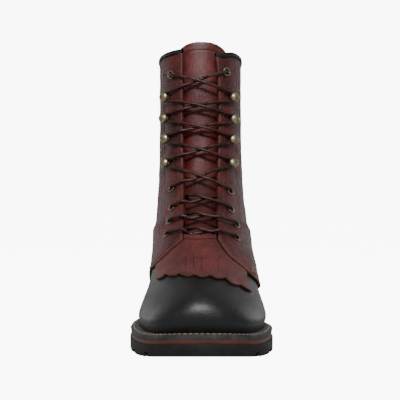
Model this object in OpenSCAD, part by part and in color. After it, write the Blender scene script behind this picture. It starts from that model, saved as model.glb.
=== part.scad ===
// Lace-up leather work boot, nine inch packer pattern, right foot.
// X runs across the foot (+X is the inner, medial side), the toe points to -Y, +Z is up.
// The origin is on the ground, under the middle of the boot.

/* [Sole] */
// Length of the sole, toe to heel
sole_length = 311; // [290:1:330]
// Width of the sole across the ball of the foot
sole_width = 118.8; // [110:0.1:126]
// Thickness of the rubber outsole under the forefoot
outsole_t = 9.3; // [8:0.1:11]
// Thickness of the leather midsole
midsole_t = 3.3; // [2:0.1:4]
// Thickness of the welt
welt_t = 4; // [3:0.1:5]
// Depth of the tread grooves
tread_depth = 3; // [2:0.1:4]

/* [Upper] */
// Height of the front of the collar above the ground
collar_height = 268; // [250:1:300]
// Thickness of the upper leather
leather_t = 2; // [1.6:0.1:2.2]
// Thickness of the lining leather
lining_t = 1.4; // [1:0.1:1.5]
// Distance from the centre line to each facing edge
facing_gap = 16.5; // [14:0.5:18]
// Thickness of the tongue leather
tongue_t = 2.6; // [2:0.1:3]
// Half width of the tongue, measured on the skin in front of it
tongue_half = 31; // [26:0.5:31]

/* [Lacing] */
// Diameter of the round lace
lace_d = 3; // [2.6:0.1:3]
// Diameter of the hole in an eyelet
eyelet_bore = 5; // [4.6:0.1:5.4]
// Outer diameter of an eyelet's rim
eyelet_rim = 9; // [8:0.1:9.6]
// Diameter of a speed hook's cap
hook_cap = 9.4; // [8:0.1:9.6]

/* [Hidden] */
LEFT = -1;
RIGHT = 1;

// ---- Smooth curve through knots [position, value], the value a number or a vector
function knot(k, x, i = 0) = (i >= len(k) - 2 || x < k[i + 1][0]) ? i : knot(k, x, i + 1);
function slope(k, i) =
    let (a = max(i - 1, 0), b = min(i + 1, len(k) - 1))
    (k[b][1] - k[a][1]) / (k[b][0] - k[a][0]);
function curve(k, x) =
    let (i = knot(k, x),
         h = k[i + 1][0] - k[i][0],
         f = min(max((x - k[i][0]) / h, 0), 1),
         g = 1 - f)
    k[i][1] * g * g * (1 + 2 * f) + slope(k, i) * h * f * g * g
    + k[i + 1][1] * f * f * (3 - 2 * f) - slope(k, i + 1) * h * f * f * g;
function smooth(x, a, b) = let (f = min(max((x - a) / (b - a), 0), 1)) f * f * (3 - 2 * f);
function unit(a) = a / norm(a);
function mix(a, b, f) = a + (b - a) * f;

// ---- Sole: its top line in side view, and its outline in plan
len_k = sole_length / 311;
wide_k = sole_width / 118.8;
TOE_Y = -156;
HEEL_Y = 155;
TOP_LINE = [[-156, 21.5], [-130, 17.4], [-100, 16.6], [-40, 16.6], [-8, 18.8], [18, 24], [44, 30],
    [70, 34.6], [92, 36.6], [155, 38]];
SOLE_MEDIAL = [[0, 70], [0.1, 71], [0.2, 68], [0.3, 63.3], [0.38, 56], [0.47, 46], [0.56, 39.8],
    [0.66, 39.2], [0.74, 43], [0.82, 48.8], [0.9, 55.5], [1, 60]];
SOLE_LATERAL = [[0, 66], [0.1, 66.5], [0.2, 64.6], [0.3, 61.6], [0.38, 58.5], [0.47, 51.5], [0.56, 44.5],
    [0.66, 42.3], [0.74, 44], [0.82, 48.8], [0.9, 55.5], [1, 60]];
SOLE_POWER = 0.85;
OUTLINE_STEPS = 64;
SIDE_STEPS = 34;
welt_bottom = welt_t;
midsole_bottom = welt_t + midsole_t;
outsole_bottom = midsole_bottom + outsole_t;
breast_y = 72;
heel_lift_t = 7;
HEEL_NAILS = [[-22, 92], [22, 92], [-24, 110], [24, 110], [-16, 130], [16, 130], [0, 138], [0, 92]];
NAIL_FOOT = 2;
NAIL_LENGTH = 13;
NAIL_R = 1.1;

function top_z(y) = curve(TOP_LINE, y);
// A point of the outline, w going once round from the toe by the medial side
function rim(w) =
    let (a = 360 * w,
         c = sign(cos(a)) * pow(abs(cos(a)), SOLE_POWER),
         s = (1 - c) / 2,
         side = sin(a) >= 0 ? SOLE_MEDIAL : SOLE_LATERAL)
    [sign(sin(a)) * curve(side, s) * pow(abs(sin(a)), SOLE_POWER) * wide_k,
     mix(TOE_Y, HEEL_Y, s) * len_k];
function rim_in(w, d) =
    let (e = 0.006, t = rim(w + e) - rim(w - e), n = unit([-t[1], t[0]])) rim(w) + n * d;
function outline(d) = [for (i = [0:OUTLINE_STEPS - 1]) rim_in((i + 0.5) / OUTLINE_STEPS, d)];
BAND_YS = [for (i = [0:SIDE_STEPS]) mix(-170, 170, i / SIDE_STEPS)];

// Everything between two depths below the top line, as wide as the shoe
module band(d0, d1) {
    upper = [for (y = BAND_YS) [y, top_z(y) - d0]];
    lower = [for (i = [SIDE_STEPS:-1:0]) [BAND_YS[i], top_z(BAND_YS[i]) - d1]];
    rotate([90, 0, 90]) linear_extrude(160, center = true) polygon(concat(upper, lower));
}

// A layer of the sole, set in from the edge by d
module layer(d, d0, d1) {
    intersection() {
        linear_extrude(60) polygon(outline(d));
        band(d0, d1);
    }
}

// ---- Upper: levels from the welt (0) to the collar (1), each a closed outline
FRONT = [[0, [-148, 20]], [0.05, [-150.5, 31]], [0.1, [-146, 43]], [0.15, [-134, 53]], [0.2, [-115, 59]],
    [0.26, [-92, 63.5]], [0.32, [-72, 71]], [0.38, [-52, 84]], [0.46, [-28, 102]], [0.54, [-6, 121]],
    [0.62, [13, 142]], [0.7, [24, 166]], [0.8, [29.5, 199]], [0.9, [31, 234]], [1, [32, 268]],
    [1.1, [32.5, 300]]];
BACK = [[0, [148, 38]], [0.05, [150, 49]], [0.1, [151, 59]], [0.15, [150.5, 67]], [0.2, [150, 73]],
    [0.26, [149, 79.5]], [0.32, [148, 86]], [0.38, [147, 93]], [0.46, [145.5, 103]], [0.54, [143, 117]],
    [0.62, [141, 136]], [0.7, [139.5, 160]], [0.8, [139.5, 193]], [0.9, [141, 229]], [1, [141.5, 263]],
    [1.1, [142, 296]]];
STATIONS = [0, 0.1, 0.28, 0.45, 0.6, 0.8, 1];
MEDIAL = [[0, [70, 63.5, 57, 43.5, 36.5, 42, 51]], [0.05, [73, 65.5, 59, 45.5, 38.5, 43.5, 52.5]],
    [0.15, [42, 44.5, 51.5, 49, 43, 43.5, 51]], [0.26, [46, 48.5, 50.3, 48, 44.5, 45, 50]],
    [0.46, [40, 42, 45, 46, 45.8, 45.5, 46]], [0.62, [40.5, 41.5, 43, 43.4, 43.4, 43.4, 43.4]],
    [0.8, [40, 40.8, 41.6, 42, 42, 42, 42]], [1.1, [40, 40.6, 41.6, 42, 42, 42, 42]]];
LATERAL = [[0, [66, 59, 53, 45, 38.5, 42, 51]], [0.05, [69, 61, 55, 47, 40.5, 43.5, 52.5]],
    [0.15, [40, 41.5, 45.5, 44, 41.5, 43.5, 51]], [0.26, [44, 46, 45, 43, 42.3, 44.2, 50]],
    [0.46, [39, 40.5, 43, 43.5, 43.5, 43.5, 44.5]], [0.62, [39, 40, 41.5, 42, 42, 42, 42]],
    [0.8, [38.5, 39.5, 40.6, 41, 41, 41, 41]], [1.1, [39, 40, 41, 41.4, 41.4, 41.4, 41.4]]];
POWER = [[0, 0.88], [0.05, 0.88], [0.15, 0.94], [0.26, 1], [0.46, 0.97], [0.62, 0.9], [0.8, 0.86],
    [1.1, 0.86]];
SAG_TOP = 0.34;
tall_k = (collar_height - 100) / 168;

function stretch(z) = z < 100 ? z : 100 + (z - 100) * tall_k;
// Half width at chord fraction s of level v, before the ends are rounded
function fullness(s, v, side) =
    let (row = curve(side > 0 ? MEDIAL : LATERAL, v))
    curve([for (i = [0:6]) [STATIONS[i], row[i]]], s);
// u runs from 0 at the front centre line, by the medial side (+) or the lateral side (-),
// to 1 at the back seam, and may run on past 1 round the other side
function on_skin(u, v) =
    let (w = u > 1 ? u - 2 : u,
         side = w >= 0 ? RIGHT : LEFT,
         p = curve(POWER, v),
         c = cos(180 * w),
         s = (1 - sign(c) * pow(abs(c), p)) / 2,
         f = curve(FRONT, v),
         b = curve(BACK, v),
         y = mix(f[0], b[0], s),
         flat_z = mix(20, 38, s),
         sag = (top_z(y) + 0.3 - flat_z) * (1 - smooth(v, 0, SAG_TOP)))
    [side * fullness(s, v, side) * pow(abs(sin(180 * w)), p) * wide_k,
     y * len_k,
     stretch(mix(f[1], b[1], s) + sag)];
function skin_normal(u, v) =
    let (e = 0.004)
    unit(cross(on_skin(u + e, v) - on_skin(u - e, v), on_skin(u, v + e) - on_skin(u, max(v - e, 0))));
// A point t outside the skin
function off_skin(u, v, t) = on_skin(u, v) + skin_normal(u, v) * t;
// The u of the point at distance x from the centre line, near the front of level v
function u_at(x, v) =
    let (side = x >= 0 ? RIGHT : LEFT,
         p = curve(POWER, v),
         a = asin(pow(abs(x) / (fullness(0.02, v, side) * wide_k), 1 / p)),
         b = asin(pow(abs(x) / (fullness((1 - pow(cos(a), p)) / 2, v, side) * wide_k), 1 / p)),
         c = asin(pow(abs(x) / (fullness((1 - pow(cos(b), p)) / 2, v, side) * wide_k), 1 / p)))
    side * c / 180;

// A closed sheet over a grid of [u, v, inner offset, outer offset]
module sheet(rows) {
    m = len(rows);
    n = len(rows[0]);
    q = m * n;
    outer = [for (r = rows) for (c = r) off_skin(c[0], c[1], c[3])];
    inner = [for (r = rows) for (c = r) off_skin(c[0], c[1], c[2])];
    walls = [for (i = [0:m - 2]) for (j = [0:n - 2])
        let (a = i * n + j, b = a + 1, d = a + n, c = d + 1)
        each [[a, d, c], [a, c, b], [q + a, q + c, q + d], [q + a, q + b, q + c]]];
    low = [for (j = [0:n - 2]) each [[j, j + 1, q + j + 1], [j, q + j + 1, q + j]]];
    k = (m - 1) * n;
    high = [for (j = [0:n - 2])
        each [[k + j + 1, k + j, q + k + j], [k + j + 1, q + k + j, q + k + j + 1]]];
    start = [for (i = [0:m - 2])
        let (a = i * n, d = a + n) each [[d, a, q + a], [d, q + a, q + d]]];
    end = [for (i = [0:m - 2])
        let (b = i * n + n - 1, c = b + n) each [[b, c, q + c], [b, q + c, q + b]]];
    polyhedron(concat(outer, inner), concat(walls, low, high, start, end));
}
function steps(a, b, n) = [for (i = [0:n]) mix(a, b, i / n)];
function lining_out(v) = mix(-leather_t - 1.5, -leather_t - 0.1, smooth(v, 0.5, 0.62));

// ---- Edges of the upper's pieces
COLLAR_V = 0.9905;
THROAT_V = 0.39;
VAMP_BACK_U = 0.58;
WELT_V = 0.004;
// Half the gap between the facings, on each side, from the throat to the collar
GAP_LEFT = [[0.39, 14.2], [0.46, 15.2], [0.6, 16], [0.8, 17], [1, 17.2]];
GAP_RIGHT = [[0.39, 15], [0.46, 16.4], [0.6, 17], [0.8, 18.2], [0.9, 18], [1, 15.4]];
// Lower front edge of each quarter, from its outer corner up to the throat, as [level, u]
DIAGONAL_LEFT = [[0.194, 0.402], [0.234, 0.325], [0.289, 0.262], [0.342, 0.198], [0.37, 0.147], [0.39, 0.112]];
DIAGONAL_RIGHT = [[0.125, 0.398], [0.166, 0.343], [0.219, 0.282], [0.286, 0.217], [0.328, 0.172],
    [0.39, 0.112]];
function diagonal(side) = side > 0 ? DIAGONAL_RIGHT : DIAGONAL_LEFT;
function flipped(k) = [for (i = [len(k) - 1:-1:0]) [k[i][1], k[i][0]]];
function gap(v, side) = curve(side > 0 ? GAP_RIGHT : GAP_LEFT, v) * facing_gap / 16.5;
// Front edge of a quarter: up the side, along the diagonal, then up the facing
function quarter_edge(v, side) =
    let (corner = diagonal(side)[0])
    v < corner[0] ? mix(0.5, corner[1], v / corner[0])
    : v < THROAT_V ? curve(diagonal(side), v)
    : abs(u_at(side * gap(v, side), v));
// How far a quarter is lifted where it overlaps the vamp
function lap(u, v) = (leather_t + 0.5) * (1 - smooth(v, 0.41, 0.47)) * (1 - smooth(u, 0.6, 0.68));
function quarter_rows(side, cols) =
    let (corner = diagonal(side)[0][0],
         vs = concat(steps(WELT_V, corner, 5), steps(corner, THROAT_V, 8), steps(THROAT_V, COLLAR_V, 17)),
         keep = [for (i = [0:len(vs) - 1]) if (i == 0 || vs[i] > vs[i - 1]) vs[i]])
    [for (v = keep)
        [for (j = [0:cols])
            let (f = pow(j / cols, 1.15), u = mix(quarter_edge(v, side), 0.9985, f),
                 lift = lap(u, v))
            [u, v, lift - leather_t, lift]]];
function mirrored(rows) = [for (r = rows) [for (j = [len(r) - 1:-1:0]) [-r[j][0], r[j][1], r[j][2], r[j][3]]]];
function sided(rows, side) = side > 0 ? rows : mirrored(rows);

// ---- Eyelets and hooks: [distance from the centre line, level], lowest first
EYELETS_L = [[-27.3, 0.408], [-26.8, 0.465], [-26, 0.522], [-27, 0.594], [-28.3, 0.935]];
EYELETS_R = [[30.6, 0.39], [32, 0.447], [28.3, 0.514], [28.6, 0.583], [25.8, 0.941]];
HOOKS_L = [[-31.4, 0.678], [-31.6, 0.754], [-32.6, 0.815], [-32.1, 0.873]];
HOOKS_R = [[30.1, 0.677], [30.8, 0.75], [31.4, 0.81], [31.2, 0.871]];
hole_r = eyelet_bore / 2 + 0.5;
rivet_r = 1.4;
neck_r = 1.5;

// Puts its children on the skin, their Z axis along the normal and their Y axis level
module on(x, v, t = 0) {
    u = u_at(x, v);
    n = skin_normal(u, v);
    translate(off_skin(u, v, t)) rotate([0, acos(n[2]), atan2(n[1], n[0])]) children();
}
// Holes through the quarter and its lining, for one side
module hardware_holes(side) {
    for (e = side > 0 ? EYELETS_R : EYELETS_L) on(e[0], e[1]) cylinder(20, r = hole_r + 0.05, center = true);
    for (h = side > 0 ? HOOKS_R : HOOKS_L) on(h[0], h[1]) cylinder(20, r = rivet_r + 0.05, center = true);
}

// ---- Lace: points are [distance from the centre line, level, offset from the skin]
lace_r = lace_d / 2;
OVER_RIM = 3.15;
OVER_TOP = 2.2;
UNDER_TOP = -1.5;
MM = 0.003;
// How much a step along the skin shows across, where the facing turns away
HOOK_TURN = 0.58;
NECK_INSET = 2.2;
function eyelet(side, i) = side > 0 ? EYELETS_R[i] : EYELETS_L[i];
function hook(side, i) = side > 0 ? HOOKS_R[i] : HOOKS_L[i];
function depth(v) = lining_t - lining_out(v);
function lift_at(p) = lap(abs(u_at(p[0], p[1])), p[1] - 0.012);
function between(a, b, x, t) = [x, mix(a[1], b[1], (x - a[0]) / (b[0] - a[0])), t];
// Out through an eyelet at a, towards b
function leave(a, b) =
    let (s = sign(a[0]), l = lift_at(a))
    [[a[0], a[1], -depth(a[1]) - 0.4], [a[0], a[1], -1.5], [a[0], a[1], l + 0.5],
     between(a, b, a[0] - s * 0.8, l + 2.5), between(a, b, a[0] - s * 3, l + OVER_RIM),
     between(a, b, s * (gap(a[1], s) + 3), l + OVER_RIM), between(a, b, s * (gap(a[1], s) - 1), l + OVER_RIM)];
// Across the tongue, over (right-hand start) or under (left-hand start) the other strand
function across(a, b, rise) =
    let (s = sign(a[0]), t = rise + (s > 0 ? OVER_TOP : UNDER_TOP))
    [between(a, b, s * 9, t + 0.4), between(a, b, s * 3, t), between(a, b, -s * 3, t)];
// In behind the other facing, to the inside of the eyelet at b
function dive(a, b) =
    let (s = sign(b[0]), d = depth(b[1]))
    [between(a, b, s * 8.5, -d * 0.3), between(a, b, s * (gap(b[1], s) - 4), 1.5 - d),
     between(a, b, s * (gap(b[1], s) - 2.3), -d - 0.8),
     between(a, b, s * (gap(b[1], s) + 0.8), -d - 1.9), between(a, b, b[0] - s * 3, -d - 1.9),
     between(a, b, b[0] - s * 0.8, -d - 1.3)];
// Round the outer side of a hook's neck, from below
function round_hook(h) =
    let (s = sign(h[0]), reach = neck_r + lace_r + 0.6, n = h[0] - s * NECK_INSET * HOOK_TURN)
    [for (a = [-80:40:80]) [n + s * reach * HOOK_TURN * cos(a), h[1] + MM * reach * sin(a), 2.6]];
function hook_start(h) = [h[0] - sign(h[0]) * 4, h[1] + MM * 3.6];
function hook_end(h) = [h[0] - sign(h[0]) * 4, h[1] - MM * 3.6];
function onto_hook(a, h) =
    let (b = hook_end(h), s = sign(h[0]))
    concat([between(a, b, s * 9, OVER_RIM), between(a, b, s * (gap(h[1], s) + 1), OVER_RIM),
        between(a, b, s * (gap(h[1], s) + 5.5), OVER_RIM)], round_hook(h));
function off_hook(g, a, b) =
    let (s = sign(g[0]), x = gap(g[1], s))
    [between(a, b, s * (x + 5.5), OVER_RIM), between(a, b, s * (x + 1), OVER_RIM)];
// From the outside into the top eyelet
function enter(a, b) =
    let (s = sign(b[0]))
    [between(a, b, s * 9, OVER_RIM), between(a, b, s * (gap(b[1], s) + 1), OVER_RIM),
     between(a, b, s * (gap(b[1], s) + 4), OVER_RIM), between(a, b, b[0] - s * 3, OVER_RIM),
     between(a, b, b[0] - s * 0.8, 2.5), [b[0], b[1], 0.5],
     [b[0], b[1], -1.5], [b[0], b[1], -depth(b[1]) - 0.4], [b[0] + s * 1.1, b[1] - 0.003, -depth(b[1]) - 1.6],
     [b[0] + s * 4, b[1] - 0.008, -depth(b[1]) - 2.1], [b[0] + s * 7, b[1] - 0.014, -depth(b[1]) - 2.1]];
function strand(s) = concat(
    [for (i = [0:2]) let (a = eyelet(i % 2 == 0 ? s : -s, i), b = eyelet(i % 2 == 0 ? -s : s, i + 1))
        each concat(leave(a, b), across(a, b, 0), dive(a, b))],
    let (a = eyelet(-s, 3), h = hook(s, 0))
        concat(leave(a, hook_end(h)), across(a, hook_end(h), 1.2), onto_hook(a, h)),
    [for (i = [0:2]) let (g = hook(i % 2 == 0 ? s : -s, i), a = hook_start(g), h = hook(i % 2 == 0 ? -s : s, i + 1))
        each concat(off_hook(g, a, hook_end(h)),
            across(a, hook_end(h), 1.2), onto_hook(a, h))],
    let (g = hook(-s, 3), a = hook_start(g), b = eyelet(s, 4))
        concat(off_hook(g, a, b), across(a, b, 1.2), enter(a, b)));
function bottom_bar() =
    let (l = eyelet(LEFT, 0), r = eyelet(RIGHT, 0), d = depth(l[1]) + 1.9)
    [[l[0] + 0.8, l[1], 0.6 - d],
     for (x = steps(l[0] + 3, r[0] - 3, 6)) [x, mix(l[1], r[1], (x - l[0]) / (r[0] - l[0])), -d],
     [r[0] - 0.8, r[1], 0.6 - d]];
function backwards(a) = [for (i = [len(a) - 1:-1:0]) a[i]];
function lace_points() =
    [for (p = concat(backwards(strand(LEFT)), bottom_bar(), strand(RIGHT))) off_skin(u_at(p[0], p[1]), p[1], p[2])];
// The free ends hang down inside the shaft and lie on the footbed
TAIL_LEFT = [[-31.8, 61.5, 236.5], [-33, 65.5, 230], [-33.6, 68.5, 221], [-33.8, 71, 207], [-33.8, 72.5, 190],
    [-33.6, 74, 170], [-33.5, 75.5, 150], [-33.4, 77, 130], [-33, 78.5, 110], [-32, 80, 92], [-30.4, 82, 76],
    [-28.2, 84.5, 63], [-25, 88, 53], [-20.5, 93, 46.5], [-14, 99, 43.8], [-6, 104, 43.8], [3, 106.5, 43.9],
    [12, 104, 43.8], [18, 97, 43.6], [20, 87, 43], [18, 76, 42], [12.5, 67, 40.8], [5, 59.5, 39.5],
    [-3, 51, 38], [-9, 41, 36], [-12.5, 30, 33.5]];
TAIL_RIGHT = [[30.4, 56.5, 238.3], [32.2, 61, 232.5], [33.4, 65, 224], [34, 68.5, 212], [34.2, 70.5, 195],
    [34.2, 71.5, 175], [34.2, 72, 155], [34.2, 72, 135], [34, 71.5, 115], [33.5, 70, 97], [32.5, 67.5, 80],
    [31, 64, 66], [28.8, 59.5, 54], [26, 53.5, 45.5], [23.8, 46.5, 39.8], [22.5, 38, 36], [19, 28, 33],
    [15.5, 17, 30.2], [11, 6, 27.9], [5.5, -6, 25.8], [-1, -18, 24.4], [-8, -30, 23.6], [-15, -42, 23.1],
    [-21, -55, 23], [-24, -69, 23]];
TUBE_SIDES = 8;

// A tube swept along points, its section carried along without twist
function turned(n, a, b) =
    let (k = cross(a, b), c = a * b) n * c + cross(k, n) + k * (k * n) / max(1 + c, 0.05);
function frames(dirs, i, n, out) = i >= len(dirs) ? out
    : let (m = i == 0 ? n : turned(n, dirs[i - 1], dirs[i]), k = unit(m - dirs[i] * (m * dirs[i])))
      frames(dirs, i + 1, k, concat(out, [k]));
module tube(points, r) {
    last = len(points) - 1;
    dirs = [for (i = [0:last]) unit(points[min(i + 1, last)] - points[max(i - 1, 0)])];
    first = unit(cross(dirs[0], abs(dirs[0][2]) < 0.9 ? [0, 0, 1] : [1, 0, 0]));
    normals = frames(dirs, 0, first, []);
    rings = [for (i = [0:last]) for (k = [0:TUBE_SIDES - 1])
        let (a = 360 * k / TUBE_SIDES)
        points[i] + r * (normals[i] * cos(a) + cross(dirs[i], normals[i]) * sin(a))];
    walls = [for (i = [0:last - 1]) for (k = [0:TUBE_SIDES - 1])
        let (a = i * TUBE_SIDES + k, b = i * TUBE_SIDES + (k + 1) % TUBE_SIDES)
        each [[a, a + TUBE_SIDES, b + TUBE_SIDES], [a, b + TUBE_SIDES, b]]];
    start = [for (k = [0:TUBE_SIDES - 1]) k];
    end = [for (k = [TUBE_SIDES - 1:-1:0]) last * TUBE_SIDES + k];
    polyhedron(rings, concat([start, end], walls));
}

// ---- Sole pieces
BLACK = [0.16, 0.15, 0.15];
CHESTNUT = [0.42, 0.26, 0.24];
BRASS = [0.72, 0.64, 0.45];
WELT_INSIDE = 14;
LUG_PITCH = 24;
LUG_GAP = 5;

module outsole() color(BLACK) difference() {
    layer(0, midsole_bottom + 0.02, outsole_bottom);
    // grooves across the forefoot tread, open at both edges
    for (y = [-132:LUG_PITCH:-12])
        translate([-80, y * len_k - LUG_GAP / 2, -1])
            cube([160, LUG_GAP, 1 + tread_depth + max(top_z(y) - outsole_bottom, 0)]);
}
module heel_nail_holes() for (p = HEEL_NAILS)
    translate([p[0], p[1] * len_k, NAIL_FOOT - 0.1]) cylinder(NAIL_LENGTH + 0.2, r = NAIL_R + 0.05, $fn = 24);
module heel_block() color(BLACK) difference() {
    intersection() {
        linear_extrude(60) polygon(outline(1));
        band(outsole_bottom + 0.02, 60);
        translate([-80, breast_y, heel_lift_t + 0.02]) cube([160, 120, 60]);
    }
    heel_nail_holes();
}
module heel_top_lift() color(BLACK) difference() {
    intersection() {
        linear_extrude(heel_lift_t) polygon(outline(0.6));
        translate([-80, breast_y, 0]) cube([160, 120, heel_lift_t]);
    }
    heel_nail_holes();
}
module midsole() color([0.35, 0.2, 0.14]) layer(1, welt_bottom + 0.02, midsole_bottom);
module welt() color(BLACK) difference() {
    layer(0.4, 0, welt_bottom);
    linear_extrude(60) polygon(outline(WELT_INSIDE));
}
module welt_thread() color([0.75, 0.74, 0.72]) difference() {
    layer(2.8, -0.45, -0.02);
    linear_extrude(60) polygon(outline(3.7));
    translate([-80, 66, 0]) cube([160, 120, 60]);
}
module insole_board() color([0.72, 0.58, 0.42]) layer(WELT_INSIDE + 0.1, -1.4, 1.2);
module cork_filler() color([0.6, 0.44, 0.28]) difference() {
    layer(WELT_INSIDE + 0.1, 1.22, welt_bottom);
    translate([-7.6, -24, 0]) cube([15.2, 116, 60]);
}
module steel_shank() color([0.6, 0.62, 0.65]) intersection() {
    translate([-7.4, -23.6, 0]) cube([14.8, 115, 60]);
    band(1.5, 3.2);
}
module heel_nails() color([0.7, 0.7, 0.68])
    for (p = HEEL_NAILS) translate([p[0], p[1] * len_k, NAIL_FOOT]) cylinder(NAIL_LENGTH, r = NAIL_R, $fn = 24);
module footbed() color([0.2, 0.2, 0.21]) layer(WELT_INSIDE + 1.6, -4.4, -1.42);

// ---- Upper pieces
// The vamp and its lining stop short of the lowest eyelets
function vamp_top(u) = 0.4 - 0.045 * smooth(abs(u), 0.13, 0.19);
module vamp() color(BLACK)
    sheet([for (f = concat(steps(0, 0.25, 3), steps(0.35, 1, 8)))
        [for (u = steps(-VAMP_BACK_U, VAMP_BACK_U, 42)) [u, mix(WELT_V, vamp_top(u), f), -leather_t, 0]]]);
module toe_puff() color([0.55, 0.5, 0.42])
    sheet([for (f = concat(steps(1 / 12, 0.25, 2), [0.35, 0.35 + 0.65 / 8, 0.35 + 1.3 / 8]))
        [for (u = steps(-VAMP_BACK_U / 3, VAMP_BACK_U / 3, 14))
            [u, mix(WELT_V, vamp_top(u), f), -leather_t - 1.15, -leather_t - 0.3]]]);
module vamp_lining() color([0.4, 0.4, 0.42])
    sheet([for (f = concat(steps(0, 0.25, 2), steps(0.38, 1, 6)))
        [for (u = steps(-VAMP_BACK_U, VAMP_BACK_U, 30))
            let (v = mix(WELT_V, vamp_top(u) - 0.003, f)) [u, v, lining_out(v) - lining_t, lining_out(v)]]]);
module quarter(side) color(CHESTNUT) difference() {
    sheet(sided(quarter_rows(side, 20), side));
    hardware_holes(side);
}
module quarter_left() quarter(LEFT);
module quarter_right() quarter(RIGHT);
module heel_lining() color([0.42, 0.42, 0.44])
    sheet([for (v = steps(WELT_V, 0.3985, 8))
        [for (u = steps(VAMP_BACK_U + 0.004, 1.996 - VAMP_BACK_U, 30))
            [u, v, lining_out(v) - lining_t, lining_out(v)]]]);
module quarter_lining(side) color([0.42, 0.42, 0.44]) difference() {
    sheet(sided([for (v = steps(0.401, COLLAR_V, 15))
        [for (f = steps(0, 1, 14))
            [mix(abs(u_at(side * (gap(v, side) + 0.3), v)), 0.998, f), v, lining_out(v) - lining_t, lining_out(v)]]],
        side));
    hardware_holes(side);
}
module quarter_lining_left() quarter_lining(LEFT);
module quarter_lining_right() quarter_lining(RIGHT);
module counter_stiffener() color([0.5, 0.45, 0.38])
    sheet([for (v = steps(0.01, 0.42, 7))
        [for (u = steps(0.72 + v * 0.2, 1.28 - v * 0.2, 24)) [u, v, -leather_t - 1.15, -leather_t - 0.35]]]);
module counter_cover() color(BLACK)
    sheet([for (v = steps(0.006, 0.47, 8))
        [for (u = steps(0.7 + v * 0.32, 1.3 - v * 0.32, 32)) [u, v, 0.35, 1.85]]]);
module backstay() color(CHESTNUT)
    sheet([for (v = steps(0.48, COLLAR_V, 14)) [for (u = steps(0.925, 1.075, 8)) [u, v, 0.25, 1.6]]]);
function binding_us(v) = steps(abs(u_at(gap(v, RIGHT), v)), 2 - abs(u_at(-gap(v, LEFT), v)), 48);
module collar_binding() color([0.14, 0.15, 0.15])
    sheet([for (r = [[0.9915, -3.5, 0.3], [0.9955, -4, 0.8], [1.001, -3.9, 0.7], [1.0045, -3, -0.3]])
        [for (u = binding_us(r[0])) [u, r[0], r[1], r[2]]]]);
module facing_strip(side) color([0.5, 0.32, 0.26])
    sheet(sided([for (v = steps(0.478, COLLAR_V, 22))
        [for (x = steps(0.1, 4.4, 2)) [abs(u_at(side * (gap(v, side) + x), v)), v, 0.25, 0.95]]], side));
module facing_strip_left() facing_strip(LEFT);
module facing_strip_right() facing_strip(RIGHT);

kiltie_half = facing_gap - 3.2;
module kiltie_base() color(CHESTNUT)
    sheet([for (v = steps(0.3945, 0.4035, 1)) [for (x = steps(-kiltie_half, kiltie_half, 8)) [u_at(x, v), v, 0.15, 1.75]]]);
// Notches between the lobes of the fringe, from the outer end round to the inner end
FRINGE_NOTCHES = [[-0.3, 0.19], [-0.222, 0.222], [-0.13, 0.24], [-0.037, 0.243], [0.055, 0.236],
    [0.148, 0.212], [0.24, 0.168], [0.29, 0.15]];
LOBE_PITCH = 0.0925;
LOBE_DEPTH = 0.013;
LOBE_DROP = 0.0165;
FRINGE_ENDS = [-0.3, 0.288];
function fringe_low(u) =
    curve(FRINGE_NOTCHES, u) - LOBE_DROP - LOBE_DEPTH * abs(sin(180 * (u + 0.037) / LOBE_PITCH));
function fringe_high(u) =
    let (side = u > 0 ? RIGHT : LEFT, d = flipped(diagonal(side)))
    min(THROAT_V, curve(d, max(abs(u) + 0.013, d[0][0])));
module kiltie_fringe() color(CHESTNUT)
    sheet([for (b = steps(1, 0, 9))
        [for (u = steps(FRINGE_ENDS[0], FRINGE_ENDS[1], 46)) [u, mix(fringe_high(u), fringe_low(u), b), 0.4, 2]]]);

TONGUE_TOP_V = 1.0275;
TONGUE_ROUND_V = 0.988;
TONGUE_LEAN = 3;
function tongue_out(v) = -depth(v) - 4.2;
function tongue_width(v) = tongue_half * sqrt(1 - 0.96 * pow(max(v - TONGUE_ROUND_V, 0) / (TONGUE_TOP_V - TONGUE_ROUND_V), 2));
module tongue() color(CHESTNUT)
    sheet([for (v = concat(steps(0.35, TONGUE_ROUND_V, 20), steps(0.998, TONGUE_TOP_V, 5)))
        [for (f = steps(-1, 1, 14))
            [u_at(f * tongue_width(v) + TONGUE_LEAN * smooth(v, 0.8, 1), v), v, tongue_out(v) - tongue_t, tongue_out(v)]]]);
module bar_tacks() color([0.62, 0.5, 0.42])
    for (c = [[-0.5, 0.16], [0.33, 0.202]])
        sheet([for (v = [c[1] - 0.012, c[1] + 0.012])
            [for (u = [c[0] - 0.012, c[0] + 0.012]) [u, v, leather_t + 0.85, leather_t + 1.6]]]);

// ---- Eyelets and speed hooks
module eyelet_at(p) {
    l = lift_at(p);
    on(p[0], p[1]) rotate_extrude($fn = 48) {
        translate([eyelet_bore / 2, -depth(p[1])]) square([0.5, depth(p[1]) + l + 0.7]);
        translate([eyelet_bore / 2, l + 0.65]) square([(eyelet_rim - eyelet_bore) / 2, 0.5]);
    }
}
module hook_at(p) {
    inner = -sign(p[0]);
    on(p[0], p[1]) {
        translate([0, 0, -depth(p[1])]) cylinder(depth(p[1]) + 0.3, r = rivet_r, $fn = 32);
        translate([0, 0, 0.25]) cylinder(0.6, r = 4, $fn = 48);
        translate([0, inner * NECK_INSET, 0.5]) cylinder(4.4, r = neck_r, $fn = 32);
        translate([0, -inner * 0.8, 4.4]) rotate_extrude($fn = 64)
            polygon([[0, 0], [hook_cap / 2, 0], [hook_cap / 2, 0.5], [3.6, 1.4], [1.9, 1.9], [0, 2.1]]);
    }
}
module eyelets_left() color(BRASS) for (p = EYELETS_L) eyelet_at(p);
module eyelets_right() color(BRASS) for (p = EYELETS_R) eyelet_at(p);
module hooks_left() color(BRASS) for (p = HOOKS_L) hook_at(p);
module hooks_right() color(BRASS) for (p = HOOKS_R) hook_at(p);

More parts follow.
